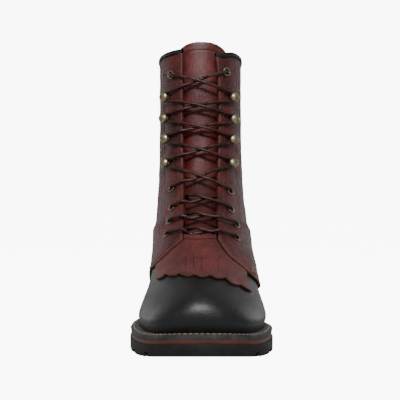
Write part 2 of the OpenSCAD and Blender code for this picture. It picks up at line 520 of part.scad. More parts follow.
// ---- The lace and its two free ends
module lace() color([0.28, 0.17, 0.15]) tube(lace_points(), lace_r);
function lace_ends() = [lace_points()[0], lace_points()[len(lace_points()) - 1]];
module lace_tail_left() color([0.28, 0.17, 0.15]) tube(concat([lace_ends()[0]], TAIL_LEFT), lace_r);
module lace_tail_right() color([0.28, 0.17, 0.15]) tube(concat([lace_ends()[1]], TAIL_RIGHT), lace_r);

outsole();
heel_block();
heel_top_lift();
midsole();
welt();
welt_thread();
insole_board();
cork_filler();
steel_shank();
heel_nails();
footbed();
vamp();
toe_puff();
vamp_lining();
heel_lining();
quarter_left();
quarter_right();
quarter_lining_left();
quarter_lining_right();
counter_stiffener();
counter_cover();
backstay();
collar_binding();
facing_strip_left();
facing_strip_right();
kiltie_base();
kiltie_fringe();
tongue();
bar_tacks();
eyelets_left();
eyelets_right();
hooks_left();
hooks_right();
lace();
lace_tail_left();
lace_tail_right();
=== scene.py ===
import math

import bpy
import numpy as np
from mathutils import Matrix, Vector


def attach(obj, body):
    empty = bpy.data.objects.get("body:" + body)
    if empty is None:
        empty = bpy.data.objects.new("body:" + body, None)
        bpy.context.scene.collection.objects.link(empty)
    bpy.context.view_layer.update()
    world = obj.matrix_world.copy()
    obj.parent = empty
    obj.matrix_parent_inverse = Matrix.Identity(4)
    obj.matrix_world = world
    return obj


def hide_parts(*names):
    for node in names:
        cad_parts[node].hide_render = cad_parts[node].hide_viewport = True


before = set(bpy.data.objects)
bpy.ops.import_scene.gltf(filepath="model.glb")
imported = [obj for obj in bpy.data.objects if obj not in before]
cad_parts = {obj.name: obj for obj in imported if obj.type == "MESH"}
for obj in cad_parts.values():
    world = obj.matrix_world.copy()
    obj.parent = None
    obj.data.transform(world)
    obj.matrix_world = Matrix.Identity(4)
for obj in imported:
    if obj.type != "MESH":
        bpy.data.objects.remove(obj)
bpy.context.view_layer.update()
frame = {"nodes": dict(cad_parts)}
MM = 0.001
LEFT, RIGHT = -1, 1

# ---- Camera: level, straight in front of the toe, at the height of the throat
camera_data = bpy.data.cameras.new("camera")
camera_data.lens = 73.8
camera_data.sensor_width = 36
camera_data.shift_y = 0.0395
camera_data.clip_start = 0.01
camera = bpy.data.objects.new("camera", camera_data)
camera.location = (0, -0.755, 0.108)
camera.rotation_euler = (math.pi / 2, 0, 0)
bpy.context.scene.collection.objects.link(camera)
bpy.context.scene.camera = camera

# ---- The last: the smooth form that the upper is pulled over. u runs from 0 at the front
# centre line, by the medial side (+) or the lateral side (-), to 1 at the back seam, and v
# from 0 at the welt to 1 at the collar. All its numbers are in millimetres.
TOP_LINE = [(-156, 21.5), (-130, 17.4), (-100, 16.6), (-40, 16.6), (-8, 18.8), (18, 24), (44, 30),
            (70, 34.6), (92, 36.6), (155, 38)]
FRONT = [(0, (-148, 20)), (0.05, (-150.5, 31)), (0.1, (-146, 43)), (0.15, (-134, 53)), (0.2, (-115, 59)),
         (0.26, (-92, 63.5)), (0.32, (-72, 71)), (0.38, (-52, 84)), (0.46, (-28, 102)),
         (0.54, (-6, 121)), (0.62, (13, 142)), (0.7, (24, 166)), (0.8, (29.5, 199)), (0.9, (31, 234)),
         (1, (32, 268)), (1.1, (32.5, 300))]
BACK = [(0, (148, 38)), (0.05, (150, 49)), (0.1, (151, 59)), (0.15, (150.5, 67)), (0.2, (150, 73)),
        (0.26, (149, 79.5)), (0.32, (148, 86)), (0.38, (147, 93)), (0.46, (145.5, 103)), (0.54, (143, 117)),
        (0.62, (141, 136)), (0.7, (139.5, 160)), (0.8, (139.5, 193)), (0.9, (141, 229)),
        (1, (141.5, 263)), (1.1, (142, 296))]
STATIONS = np.array([0, 0.1, 0.28, 0.45, 0.6, 0.8, 1])
MEDIAL = [(0, (70, 63.5, 57, 43.5, 36.5, 42, 51)), (0.05, (73, 65.5, 59, 45.5, 38.5, 43.5, 52.5)),
          (0.15, (42, 44.5, 51.5, 49, 43, 43.5, 51)), (0.26, (46, 48.5, 50.3, 48, 44.5, 45, 50)),
          (0.46, (40, 42, 45, 46, 45.8, 45.5, 46)), (0.62, (40.5, 41.5, 43, 43.4, 43.4, 43.4, 43.4)),
          (0.8, (40, 40.8, 41.6, 42, 42, 42, 42)), (1.1, (40, 40.6, 41.6, 42, 42, 42, 42))]
LATERAL = [(0, (66, 59, 53, 45, 38.5, 42, 51)), (0.05, (69, 61, 55, 47, 40.5, 43.5, 52.5)),
           (0.15, (40, 41.5, 45.5, 44, 41.5, 43.5, 51)), (0.26, (44, 46, 45, 43, 42.3, 44.2, 50)),
           (0.46, (39, 40.5, 43, 43.5, 43.5, 43.5, 44.5)), (0.62, (39, 40, 41.5, 42, 42, 42, 42)),
           (0.8, (38.5, 39.5, 40.6, 41, 41, 41, 41)), (1.1, (39, 40, 41, 41.4, 41.4, 41.4, 41.4))]
POWER = [(0, 0.88), (0.05, 0.88), (0.15, 0.94), (0.26, 1), (0.46, 0.97), (0.62, 0.9), (0.8, 0.86),
         (1.1, 0.86)]
SAG_TOP = 0.34


def hermite(x, xs, at, slope_at):
    """Smooth curve through knots xs: at(i) gives their values, slope_at(i) their slopes"""
    i = np.clip(np.searchsorted(xs, x, side="right") - 1, 0, len(xs) - 2)
    step = xs[i + 1] - xs[i]
    f = np.clip((x - xs[i]) / step, 0, 1)
    if at(i).ndim > f.ndim:
        step, f = step[..., None], f[..., None]
    g = 1 - f
    return (at(i) * g * g * (1 + 2 * f) + slope_at(i) * step * f * g * g
            + at(i + 1) * f * f * (3 - 2 * f) - slope_at(i + 1) * step * f * f * g)


def slopes(xs, ys):
    """Slopes at knots, from their neighbours, along the last axis of ys"""
    low = np.maximum(np.arange(len(xs)) - 1, 0)
    high = np.minimum(np.arange(len(xs)) + 1, len(xs) - 1)
    return (ys[..., high] - ys[..., low]) / (xs[high] - xs[low])


def curve(knots, x):
    """Smooth curve through knots (position, value)"""
    xs = np.array([k[0] for k in knots], float)
    ys = np.array([k[1] for k in knots], float)
    m = slopes(xs, ys.T).T
    return hermite(np.asarray(x, float), xs, lambda i: ys[i], lambda i: m[i])


def smooth(x, a, b):
    f = np.clip((np.asarray(x, float) - a) / (b - a), 0, 1)
    return f * f * (3 - 2 * f)


def mix(a, b, f):
    return a + (b - a) * f


def fullness(s, v, side):
    """Half width at chord fraction s of level v"""
    rows = np.where((side > 0)[..., None], curve(MEDIAL, v), curve(LATERAL, v))
    m = slopes(STATIONS, rows)
    take = lambda a, i: np.take_along_axis(a, i[..., None], -1)[..., 0]
    return hermite(s, STATIONS, lambda i: take(rows, i), lambda i: take(m, i))


def on_last(u, v):
    u, v = np.broadcast_arrays(np.asarray(u, float), np.asarray(v, float))
    w = np.where(u > 1, u - 2, u)
    side = np.where(w >= 0, 1, -1)
    p = curve(POWER, v)
    c = np.cos(np.pi * w)
    s = (1 - np.sign(c) * np.abs(c) ** p) / 2
    ends = mix(curve(FRONT, v), curve(BACK, v), s[..., None])
    sag = (curve(TOP_LINE, ends[..., 0]) + 0.3 - mix(20, 38, s)) * (1 - smooth(v, 0, SAG_TOP))
    x = side * fullness(s, v, side) * np.abs(np.sin(np.pi * w)) ** p
    return np.stack([x, ends[..., 0], ends[..., 1] + sag], -1)


def outward(u, v):
    e = 0.004
    across = on_last(u + e, v) - on_last(u - e, v)
    up = on_last(u, v + e) - on_last(u, np.maximum(v - e, 0))
    n = np.cross(across, up)
    return n / np.linalg.norm(n, axis=-1, keepdims=True)


def skin(u, v, t=0.0):
    """Points t millimetres outside the last's skin, in metres"""
    u, v, t = np.broadcast_arrays(np.asarray(u, float), np.asarray(v, float), np.asarray(t, float))
    return (on_last(u, v) + outward(u, v) * t[..., None]) * MM


def u_at(x, v):
    """The u at distance x from the centre line, near the front of level v"""
    x, v = np.broadcast_arrays(np.asarray(x, float), np.asarray(v, float))
    side = np.where(x >= 0, 1, -1)
    p = curve(POWER, v)
    half = fullness(np.full(x.shape, 0.02), v, side)
    for _ in range(3):
        a = np.arcsin(np.clip((np.abs(x) / half) ** (1 / p), 0, 1))
        half = fullness((1 - np.cos(a) ** p) / 2, v, side)
    return side * a / np.pi


# ---- Facings, eyelets and hooks: where the upper's front edges and its hardware are.
# Distances are in millimetres from the centre line, levels as v, the lowest first.
THROAT_V = 0.39
COLLAR_V = 0.9905
WELT_V = 0.004
GAP = {LEFT: [(0.39, 14.2), (0.46, 15.2), (0.6, 16), (0.8, 17), (1, 17.2)],
       RIGHT: [(0.39, 15), (0.46, 16.4), (0.6, 17), (0.8, 18.2), (0.9, 18), (1, 15.4)]}
DIAGONAL = {LEFT: [(0.194, 0.402), (0.234, 0.325), (0.289, 0.262), (0.342, 0.198), (0.37, 0.147),
                   (0.39, 0.112)],
            RIGHT: [(0.125, 0.398), (0.166, 0.343), (0.219, 0.282), (0.286, 0.217), (0.328, 0.172),
                    (0.39, 0.112)]}
EYELETS = {LEFT: [(-27.3, 0.408), (-26.8, 0.465), (-26, 0.522), (-27, 0.594), (-28.3, 0.935)],
           RIGHT: [(30.6, 0.39), (32, 0.447), (28.3, 0.514), (28.6, 0.583), (25.8, 0.941)]}
HOOKS = {LEFT: [(-31.4, 0.678), (-31.6, 0.754), (-32.6, 0.815), (-32.1, 0.873)],
         RIGHT: [(30.1, 0.677), (30.8, 0.75), (31.4, 0.81), (31.2, 0.871)]}
LEATHER_T = 2.0
LINING_T = 1.4


def gap(v, side):
    return curve(GAP[side], v)


def collar_dip(u, v):
    """How much lower the collar's front corner lies on the medial side"""
    return 0.0115 * (1 - smooth(u, 0.13, 0.3)) * smooth(v, 0.952, COLLAR_V) * (np.asarray(u) > 0)


def lap(u, v):
    """How far a quarter is lifted where it overlaps the vamp"""
    return (LEATHER_T + 0.5) * (1 - smooth(v, 0.41, 0.47)) * (1 - smooth(np.abs(u), 0.6, 0.68))


def lining_out(v):
    return mix(-LEATHER_T - 1.5, -LEATHER_T - 0.1, smooth(v, 0.5, 0.62))


def depth(v):
    return LINING_T - lining_out(v)


# ---- Lace ends: 3 mm round waxed cord. Each end leaves the lace behind its top eyelet, hangs
# down inside the shaft against the lining, and lies along the footbed.
LACE_D = 3.0
OVER_RIM, OVER_TOP, UNDER_TOP = 3.15, 2.2, -1.5
NECK_R, NECK_INSET, HOOK_TURN = 1.5, 2.2, 0.58
LEVEL_MM = 0.003


def lift_at(p):
    return float(lap(u_at(p[0], p[1]), p[1] - 0.012))


def between(a, b, x, t):
    return (x, mix(a[1], b[1], (x - a[0]) / (b[0] - a[0])), t)


def leave(a, b):
    """Out through the eyelet at a, towards b"""
    s, l, g = np.sign(a[0]), lift_at(a), float(gap(a[1], np.sign(a[0])))
    return [(a[0], a[1], -depth(a[1]) - 0.4), (a[0], a[1], -1.5), (a[0], a[1], l + 0.5),
            between(a, b, a[0] - s * 0.8, l + 2.5), between(a, b, a[0] - s * 3, l + OVER_RIM),
            between(a, b, s * (g + 3), l + OVER_RIM), between(a, b, s * (g - 1), l + OVER_RIM)]


def across(a, b, rise):
    """Over the tongue, on top of or under the other strand"""
    s = np.sign(a[0])
    t = rise + (OVER_TOP if s > 0 else UNDER_TOP)
    return [between(a, b, s * 9, t + 0.4), between(a, b, s * 3, t), between(a, b, -s * 3, t)]


def dive(a, b):
    """In behind the other facing, to the inside of the eyelet at b"""
    s, d, g = np.sign(b[0]), depth(b[1]), float(gap(b[1], np.sign(b[0])))
    return [between(a, b, s * 8.5, -d * 0.3), between(a, b, s * (g - 4), 1.5 - d),
            between(a, b, s * (g - 2.3), -d - 0.8), between(a, b, s * (g + 0.8), -d - 1.9),
            between(a, b, b[0] - s * 3, -d - 1.9), between(a, b, b[0] - s * 0.8, -d - 1.3)]


def round_hook(h):
    s, reach = np.sign(h[0]), NECK_R + LACE_D / 2 + 0.6
    n = h[0] - s * NECK_INSET * HOOK_TURN
    return [(n + s * reach * HOOK_TURN * math.cos(a), h[1] + LEVEL_MM * reach * math.sin(a), 2.6)
            for a in np.radians([-80, -40, 0, 40, 80])]


def hook_side(h, up):
    return (h[0] - np.sign(h[0]) * 4, h[1] + up * LEVEL_MM * 3.6)


def beside(a, b, p, steps):
    s = np.sign(p[0])
    return [between(a, b, s * (9 if k is None else float(gap(p[1], s)) + k), OVER_RIM) for k in steps]


def onto_hook(a, h):
    return beside(a, hook_side(h, -1), h, [None, 1, 5.5]) + round_hook(h)


def enter(a, b):
    """From the outside into the top eyelet, and down behind it"""
    s, d = np.sign(b[0]), depth(b[1])
    return beside(a, b, b, [None, 1, 4]) + [
        between(a, b, b[0] - s * 3, OVER_RIM), between(a, b, b[0] - s * 0.8, 2.5), (b[0], b[1], 0.5),
        (b[0], b[1], -1.5), (b[0], b[1], -d - 0.4), (b[0] + s * 1.1, b[1] - 0.003, -d - 1.6),
        (b[0] + s * 4, b[1] - 0.008, -d - 2.1), (b[0] + s * 7, b[1] - 0.014, -d - 2.1)]


def strand(s):
    """Half of the lace, from the lowest eyelet on side s to the top eyelet on side s"""
    path = []
    for i in range(3):
        near, far = (s, -s) if i % 2 == 0 else (-s, s)
        a, b = EYELETS[near][i], EYELETS[far][i + 1]
        path += leave(a, b) + across(a, b, 0) + dive(a, b)
    a, h = EYELETS[-s][3], HOOKS[s][0]
    path += leave(a, hook_side(h, -1)) + across(a, hook_side(h, -1), 1.2) + onto_hook(a, h)
    for i in range(3):
        near, far = (s, -s) if i % 2 == 0 else (-s, s)
        g, h = HOOKS[near][i], HOOKS[far][i + 1]
        a = hook_side(g, 1)
        path += beside(a, hook_side(h, -1), g, [5.5, 1]) + across(a, hook_side(h, -1), 1.2) + onto_hook(a, h)
    g, b = HOOKS[-s][3], EYELETS[s][4]
    a = hook_side(g, 1)
    return path + beside(a, b, g, [5.5, 1]) + across(a, b, 1.2) + enter(a, b)


def bottom_bar():
    l, r = EYELETS[LEFT][0], EYELETS[RIGHT][0]
    d = depth(l[1]) + 1.9
    xs = np.linspace(l[0] + 3, r[0] - 3, 7)
    return ([(l[0] + 0.8, l[1], 0.6 - d)] + [between(l, r, x, -d) for x in xs]
            + [(r[0] - 0.8, r[1], 0.6 - d)])


lace_route = np.array(strand(LEFT)[::-1] + bottom_bar() + strand(RIGHT), float)
lace_points = skin(u_at(lace_route[:, 0], lace_route[:, 1]), lace_route[:, 1], lace_route[:, 2])
TAIL_LEFT = [(-31.8, 61.5, 236.5), (-33, 65.5, 230), (-33.6, 68.5, 221), (-33.8, 71, 207), (-33.8, 72.5, 190),
             (-33.6, 74, 170), (-33.5, 75.5, 150), (-33.4, 77, 130), (-33, 78.5, 110), (-32, 80, 92),
             (-30.4, 82, 76), (-28.2, 84.5, 63), (-25, 88, 53), (-20.5, 93, 46.5), (-14, 99, 43.8),
             (-6, 104, 43.8), (3, 106.5, 43.9), (12, 104, 43.8), (18, 97, 43.6), (20, 87, 43),
             (18, 76, 42), (12.5, 67, 40.8), (5, 59.5, 39.5), (-3, 51, 38), (-9, 41, 36), (-12.5, 30, 33.5)]
TAIL_RIGHT = [(30.4, 56.5, 238.3), (32.2, 61, 232.5), (33.4, 65, 224), (34, 68.5, 212), (34.2, 70.5, 195),
              (34.2, 71.5, 175), (34.2, 72, 155), (34.2, 72, 135), (34, 71.5, 115), (33.5, 70, 97),
              (32.5, 67.5, 80), (31, 64, 66), (28.8, 59.5, 54), (26, 53.5, 45.5), (23.8, 46.5, 39.8),
              (22.5, 38, 36), (19, 28, 33), (15.5, 17, 30.2), (11, 6, 27.9), (5.5, -6, 25.8),
              (-1, -18, 24.4), (-8, -30, 23.6), (-15, -42, 23.1), (-21, -55, 23), (-24, -69, 23)]


def through(points, per_span):
    """Points of a smooth curve through the given ones, with per_span steps to each span"""
    p = np.asarray(points, float)
    length = np.concatenate([[0], np.cumsum(np.linalg.norm(np.diff(p, axis=0), axis=1))])
    where = np.concatenate([np.linspace(a, b, per_span, endpoint=False)
                            for a, b in zip(length[:-1], length[1:])] + [length[-1:]])
    return curve(list(zip(length, p)), where)


def length_of(points):
    return float(np.linalg.norm(np.diff(points, axis=0), axis=1).sum())


def solid(name, vertices, faces, uvs=None, materials=(), smooth_angle=40):
    """A mesh object of these faces, with a UV for each vertex of each face"""
    mesh = bpy.data.meshes.new(name)
    mesh.from_pydata([tuple(v) for v in vertices], [], [tuple(f) for f in faces])
    if uvs is not None:
        layer = mesh.uv_layers.new(name="UVMap")
        layer.data.foreach_set("uv", np.asarray(uvs, float).ravel())
    for material in materials:
        mesh.materials.append(material)
    obj = bpy.data.objects.new(name, mesh)
    bpy.context.scene.collection.objects.link(obj)
    soften(obj, smooth_angle)
    return obj


def choose(obj):
    """Makes obj the only selected object, and the active one"""
    bpy.ops.object.select_all(action="DESELECT")
    obj.select_set(True)
    bpy.context.view_layer.objects.active = obj


def soften(obj, angle):
    choose(obj)
    bpy.ops.object.shade_smooth_by_angle(angle=math.radians(angle))


def round_cord(name, points, diameter, ring_gap, strands, relief, material, sides=20):
    """A braided cord: a closed tube along points, with the braid's strands raised on it"""
    spans = np.linalg.norm(np.diff(points, axis=0), axis=1)
    length = np.concatenate([[0], np.cumsum(spans)])
    count = int(length[-1] / (ring_gap * MM)) + 2
    s = np.linspace(0, length[-1], count)
    p = np.stack([np.interp(s, length, points[:, k]) for k in range(3)], -1)
    along = np.gradient(p, axis=0)
    along /= np.linalg.norm(along, axis=1, keepdims=True)
    frame_axis = np.zeros_like(p)
    axis = np.cross(along[0], (0.3, 0.2, 0.9))
    for i, d in enumerate(along):
        axis = axis - d * (axis @ d)
        axis /= np.linalg.norm(axis)
        frame_axis[i] = axis
    other = np.cross(along, frame_axis)
    a = np.linspace(0, 2 * math.pi, sides, endpoint=False)
    turn = s[:, None] / (diameter * MM * 1.6) * 2 * math.pi / 2
    weave = np.maximum(np.sin(a * strands + turn), np.sin(a * strands - turn))
    r = diameter * MM / 2 * (1 - relief * (1 - weave) / 2)
    ring = frame_axis[:, None] * np.cos(a)[:, None] + other[:, None] * np.sin(a)[:, None]
    vertices = (p[:, None] + ring * r[..., None]).reshape(-1, 3)
    faces, uvs = [], []
    for i in range(count - 1):
        for k in range(sides):
            n = (k + 1) % sides
            faces.append((i * sides + k, i * sides + n, (i + 1) * sides + n, (i + 1) * sides + k))
            uvs += [(s[i], k / sides), (s[i], (k + 1) / sides),
                    (s[i + 1], (k + 1) / sides), (s[i + 1], k / sides)]
    for row, order in ((0, range(sides - 1, -1, -1)), (count - 1, range(sides))):
        faces.append([row * sides + k for k in order])
        uvs += [(s[row], k / sides) for k in order]
    return solid(name, vertices, faces, uvs, [material], 60)


class Finish:
    """A material in the making: its shader, and shorthand for the nodes that feed it"""

    def __init__(self, name, constants):
        self.material = bpy.data.materials.new(name)
        self.material.use_nodes = True
        self.tree = self.material.node_tree
        self.shader = self.tree.nodes["Principled BSDF"]
        for key, value in constants.items():
            self.shader.inputs[key].default_value = value
        self.place = self.add("TexCoord", {}).outputs["Object"]
        self.surface = self.place.node.outputs["UV"]

    def add(self, kind, inputs, **settings):
        node = self.tree.nodes.new("ShaderNode" + kind)
        for key, value in settings.items():
            setattr(node, key, value)
        for key, value in inputs.items():
            if isinstance(value, bpy.types.NodeSocket):
                self.tree.links.new(value, node.inputs[key])
            else:
                node.inputs[key].default_value = value
        return node

    def noise(self, size, detail=3.0, distortion=0.0, where=None, roughness=0.55):
        """Cloudy noise whose blobs are about size millimetres across"""
        return self.add("TexNoise", {"Vector": where or self.place, "Scale": 1 / (size * MM),
                                     "Detail": detail,
                                     "Roughness": roughness, "Distortion": distortion}).outputs["Fac"]

    def cells(self, size, feature="F1", where=None, randomness=1.0):
        """Distance in cells about size millimetres across"""
        return self.add("TexVoronoi", {"Vector": where or self.place, "Scale": 1 / (size * MM),
                                       "Randomness": randomness}, feature=feature).outputs["Distance"]

    def warped(self, size, amount):
        """Object coordinates pushed about by amount millimetres"""
        push = self.add("TexNoise", {"Vector": self.place, "Scale": 1 / (size * MM),
                                     "Detail": 2.0}).outputs["Color"]
        centred = self.add("VectorMath", {0: push, 1: (0.5, 0.5, 0.5)}, operation="SUBTRACT").outputs[0]
        scaled = self.add("VectorMath", {0: centred, "Scale": amount * MM * 2}, operation="SCALE").outputs[0]
        return self.add("VectorMath", {0: self.place, 1: scaled}, operation="ADD").outputs[0]

    def stretched(self, where, sizes):
        """Coordinates scaled so that a pattern is longer along some axes"""
        return self.add("Mapping", {"Vector": where, "Scale": sizes}).outputs[0]

    def ramp(self, value, low, high, out_low=0.0, out_high=1.0):
        return self.add("MapRange", {"Value": value, "From Min": low, "From Max": high, "To Min": out_low,
                                     "To Max": out_high}, interpolation_type="SMOOTHSTEP").outputs["Result"]

    def sum(self, *terms):
        """Weighted sum of (value, weight) pairs"""
        total = None
        for value, weight in terms:
            part = self.add("Math", {0: value, 1: weight}, operation="MULTIPLY").outputs[0]
            total = part if total is None else self.add("Math", {0: total, 1: part}).outputs[0]
        return total

    def blend(self, factor, a, b, mode="MIX"):
        node = self.add("Mix", {}, data_type="RGBA", blend_type=mode)
        for socket, value in ((node.inputs[0], factor), (node.inputs[6], a), (node.inputs[7], b)):
            if isinstance(value, bpy.types.NodeSocket):
                self.tree.links.new(value, socket)
            else:
                socket.default_value = value
        return node.outputs[2]

    def colour(self, socket):
        self.tree.links.new(socket, self.shader.inputs["Base Color"])

    def rough(self, value, low, high):
        self.tree.links.new(self.ramp(value, 0.25, 0.75, low, high), self.shader.inputs["Roughness"])

    def bump(self, height, millimetres, strength=1.0):
        node = self.add("Bump", {"Height": height, "Distance": millimetres * MM, "Strength": strength})
        self.tree.links.new(node.outputs[0], self.shader.inputs["Normal"])


def rgb(r, g, b):
    """A shader colour from display values of 0 to 255"""
    return tuple((c / 255 / 12.92) if c < 11 else ((c / 255 + 0.055) / 1.055) ** 2.4
                 for c in (r, g, b)) + (1.0,)


def braid_finish():
    f = Finish("waxed_lace", {"Specular IOR Level": 0.5})
    fibre = f.noise(0.35, 2.0)
    worn = f.noise(9)
    base = f.blend(f.ramp(worn, 0.35, 0.7), rgb(46, 22, 18), rgb(78, 40, 33))
    f.colour(f.blend(f.ramp(fibre, 0.3, 0.7, 0, 0.5), base, rgb(28, 15, 13)))
    f.rough(worn, 0.36, 0.52)
    f.bump(fibre, 0.12, 0.8)
    return f.material


lace_finish = braid_finish()
for name, start, route in (("lace_tail_left", lace_points[0], TAIL_LEFT),
                           ("lace_tail_right", lace_points[-1], TAIL_RIGHT)):
    points = through(np.vstack([start, np.array(route) * MM]), 6)
    end = round_cord(name + "_cord", points, LACE_D, 0.8, 4, 0.09, lace_finish)
    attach(end, "boot")
    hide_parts(name)
    length_of(points)


# ---- Sole: its outline in plan, and flat sheets of board, cork, leather and rubber cut to it,
# which follow the top line's spring at the toe and rise to the heel
SOLE_MEDIAL = [(0, 70), (0.1, 71), (0.2, 68), (0.3, 63.3), (0.38, 56), (0.47, 46), (0.56, 39.8), (0.66, 39.2),
               (0.74, 43), (0.82, 48.8), (0.9, 55.5), (1, 60)]
SOLE_LATERAL = [(0, 66), (0.1, 66.5), (0.2, 64.6), (0.3, 61.6), (0.38, 58.5), (0.47, 51.5), (0.56, 44.5),
                (0.66, 42.3), (0.74, 44), (0.82, 48.8), (0.9, 55.5), (1, 60)]
SOLE_POWER = 0.85
TOE_Y, HEEL_Y = -156, 155


def top_z(y):
    return curve(TOP_LINE, y)


def rim(w):
    """A point of the outline, w going once round from the toe by the medial side"""
    a = 2 * math.pi * w
    c = np.sign(np.cos(a)) * np.abs(np.cos(a)) ** SOLE_POWER
    s = (1 - c) / 2
    half = np.where(np.sin(a) >= 0, curve(SOLE_MEDIAL, s), curve(SOLE_LATERAL, s))
    return np.stack([np.sign(np.sin(a)) * half * np.abs(np.sin(a)) ** SOLE_POWER, mix(TOE_Y, HEEL_Y, s)], -1)


def rim_in(w, inset):
    t = rim(w + 0.006) - rim(w - 0.006)
    n = np.stack([-t[..., 1], t[..., 0]], -1)
    return rim(w) + n / np.linalg.norm(n, axis=-1, keepdims=True) * np.asarray(inset)[..., None]


def apply(obj, kind, **settings):
    """Adds a modifier to obj and applies it"""
    choose(obj)
    modifier = obj.modifiers.new(kind.lower(), kind)
    for key, value in settings.items():
        setattr(modifier, key, value)
    bpy.ops.object.modifier_apply(modifier=modifier.name)


def vertices_of(obj):
    co = np.empty(len(obj.data.vertices) * 3)
    obj.data.vertices.foreach_get("co", co)
    return co.reshape(-1, 3)


def move_vertices(obj, co):
    obj.data.vertices.foreach_set("co", np.asarray(co, float).ravel())
    obj.data.update()


def cut_sheet(name, cols, rows, place, thickness, materials, edge=0.0, span=(1, 1), keep=None, angle=45):
    """A sheet whose outer face is place(f, g), f and g from 0 to 1, with its thickness behind it
    and its cut edges eased by edge. The materials are the face's, the back's and the cut edge's."""
    bpy.ops.object.select_all(action="DESELECT")
    bpy.ops.mesh.primitive_grid_add(x_subdivisions=cols, y_subdivisions=rows, size=2)
    obj = bpy.context.object
    obj.name = obj.data.name = name
    flat = (vertices_of(obj)[:, :2] + 1) / 2
    uv = obj.data.uv_layers.active
    values = np.empty(len(uv.data) * 2)
    uv.data.foreach_get("uv", values)
    uv.data.foreach_set("uv", (values.reshape(-1, 2) * span).ravel())
    if keep is not None:
        bpy.ops.object.mode_set(mode="EDIT")
        bpy.ops.mesh.select_mode(type="FACE")
        bpy.ops.mesh.select_all(action="DESELECT")
        bpy.ops.object.mode_set(mode="OBJECT")
        for face in obj.data.polygons:
            face.select = not keep((face.center[0] + 1) / 2, (face.center[1] + 1) / 2)
        bpy.ops.object.mode_set(mode="EDIT")
        bpy.ops.mesh.delete(type="FACE")
        bpy.ops.object.mode_set(mode="OBJECT")
        flat = (vertices_of(obj)[:, :2] + 1) / 2
    move_vertices(obj, place(flat[:, 0], flat[:, 1]))
    bpy.ops.object.mode_set(mode="EDIT")
    bpy.ops.mesh.select_all(action="SELECT")
    bpy.ops.mesh.remove_doubles(threshold=1e-6)
    bpy.ops.object.mode_set(mode="OBJECT")
    for material in materials:
        obj.data.materials.append(material)
    last = len(materials) - 1
    apply(obj, "SOLIDIFY", thickness=thickness * MM, offset=-1, material_offset=min(1, last),
          material_offset_rim=min(2, last))
    if edge:
        apply(obj, "BEVEL", width=edge * MM, segments=2, limit_method="ANGLE", angle_limit=math.radians(50))
    soften(obj, angle)
    return obj


def sole_layer(name, inset, top, bottom, thickness, materials, edge, w_range=(0, 0.5), breast=0.0,
               cols=10, rows=130):
    """A layer of the sole between the heights top(y) and bottom(y), cut inset from the outline"""

    def place(f, g):
        w = mix(w_range[0], w_range[1], g)
        inner, outer = rim_in(1 - w, inset), rim_in(w, inset)
        p = mix(inner, outer, f[:, None])
        hollow = breast * (1 - (2 * f - 1) ** 2) * (g < 1e-6)
        return np.c_[p[:, 0] * MM, (p[:, 1] + hollow) * MM, np.zeros(len(p))]

    obj = cut_sheet(name, cols, rows, place, thickness, materials, edge, (0.12, 0.3), angle=35)
    co = vertices_of(obj)
    y = co[:, 1] / MM
    depth_part = -co[:, 2] / (thickness * MM)
    co[:, 2] = mix(top(y), bottom(y), depth_part) * MM
    move_vertices(obj, co)
    soften(obj, 35)
    return obj


def settle(obj, body, slot, *nodes):
    """Attaches a finished piece to the body it rides on and hides the nodes it stands for; slot is not used
    """
    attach(obj, body)
    if nodes:
        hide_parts(*nodes)
    return obj


def cutters(name, blocks):
    """One object of several boxes, each (centre, size) in millimetres"""
    made = []
    for centre, size in blocks:
        bpy.ops.object.select_all(action="DESELECT")
        bpy.ops.mesh.primitive_cube_add(size=MM, location=[c * MM for c in centre], scale=size)
        made.append(bpy.context.object)
    return joined(name, made)


def joined(name, parts):
    bpy.ops.object.select_all(action="DESELECT")
    for part in parts:
        part.select_set(True)
    bpy.context.view_layer.objects.active = parts[0]
    if len(parts) > 1:
        bpy.ops.object.join()
    bpy.ops.object.transform_apply(location=True, rotation=True, scale=True)
    parts[0].name = parts[0].data.name = name
    return parts[0]


def cut_away(obj, cutter):
    apply(obj, "BOOLEAN", object=cutter, operation="DIFFERENCE", solver="EXACT")
    bpy.data.objects.remove(cutter)


def rubber_finish(name, tone, rough, grain):
    f = Finish(name, {"Specular IOR Level": 0.4})
    dust = f.noise(14, 4)
    speck = f.noise(grain, 2)
    f.colour(f.blend(f.ramp(dust, 0.35, 0.75), rgb(*tone), rgb(*[c + 16 for c in tone])))
    f.rough(dust, rough, rough + 0.16)
    buffed = f.noise(1.2, 2, where=f.stretched(f.place, (0.25, 0.25, 2)))
    f.bump(f.sum((speck, 0.5), (buffed, 0.5)), 0.14, 0.7)
    return f.material


# ---- Outsole: moulded black rubber, 9.3 mm thick, with grooves across the forefoot tread and
# its edge buffed square after it is stitched on
OUTSOLE_TOP, OUTSOLE_BOTTOM = 7.32, 16.6
rubber = rubber_finish("outsole_rubber", (20, 18, 17), 0.6, 0.9)
outsole = sole_layer("outsole_rubber", 0, lambda y: top_z(y) - OUTSOLE_TOP,
                     lambda y: top_z(y) - OUTSOLE_BOTTOM,
                     OUTSOLE_BOTTOM - OUTSOLE_TOP, [rubber], 1.0)
cut_away(outsole, cutters("grooves", [((0, y, 1 + (float(top_z(y)) - OUTSOLE_BOTTOM) - 0.5),
                                       (170, 5, 4 + 2 * max(float(top_z(y)) - OUTSOLE_BOTTOM, 0)))
                                      for y in range(-132, -11, 24)]))
soften(outsole, 35)
settle(outsole, "boot", "rubber", "outsole")

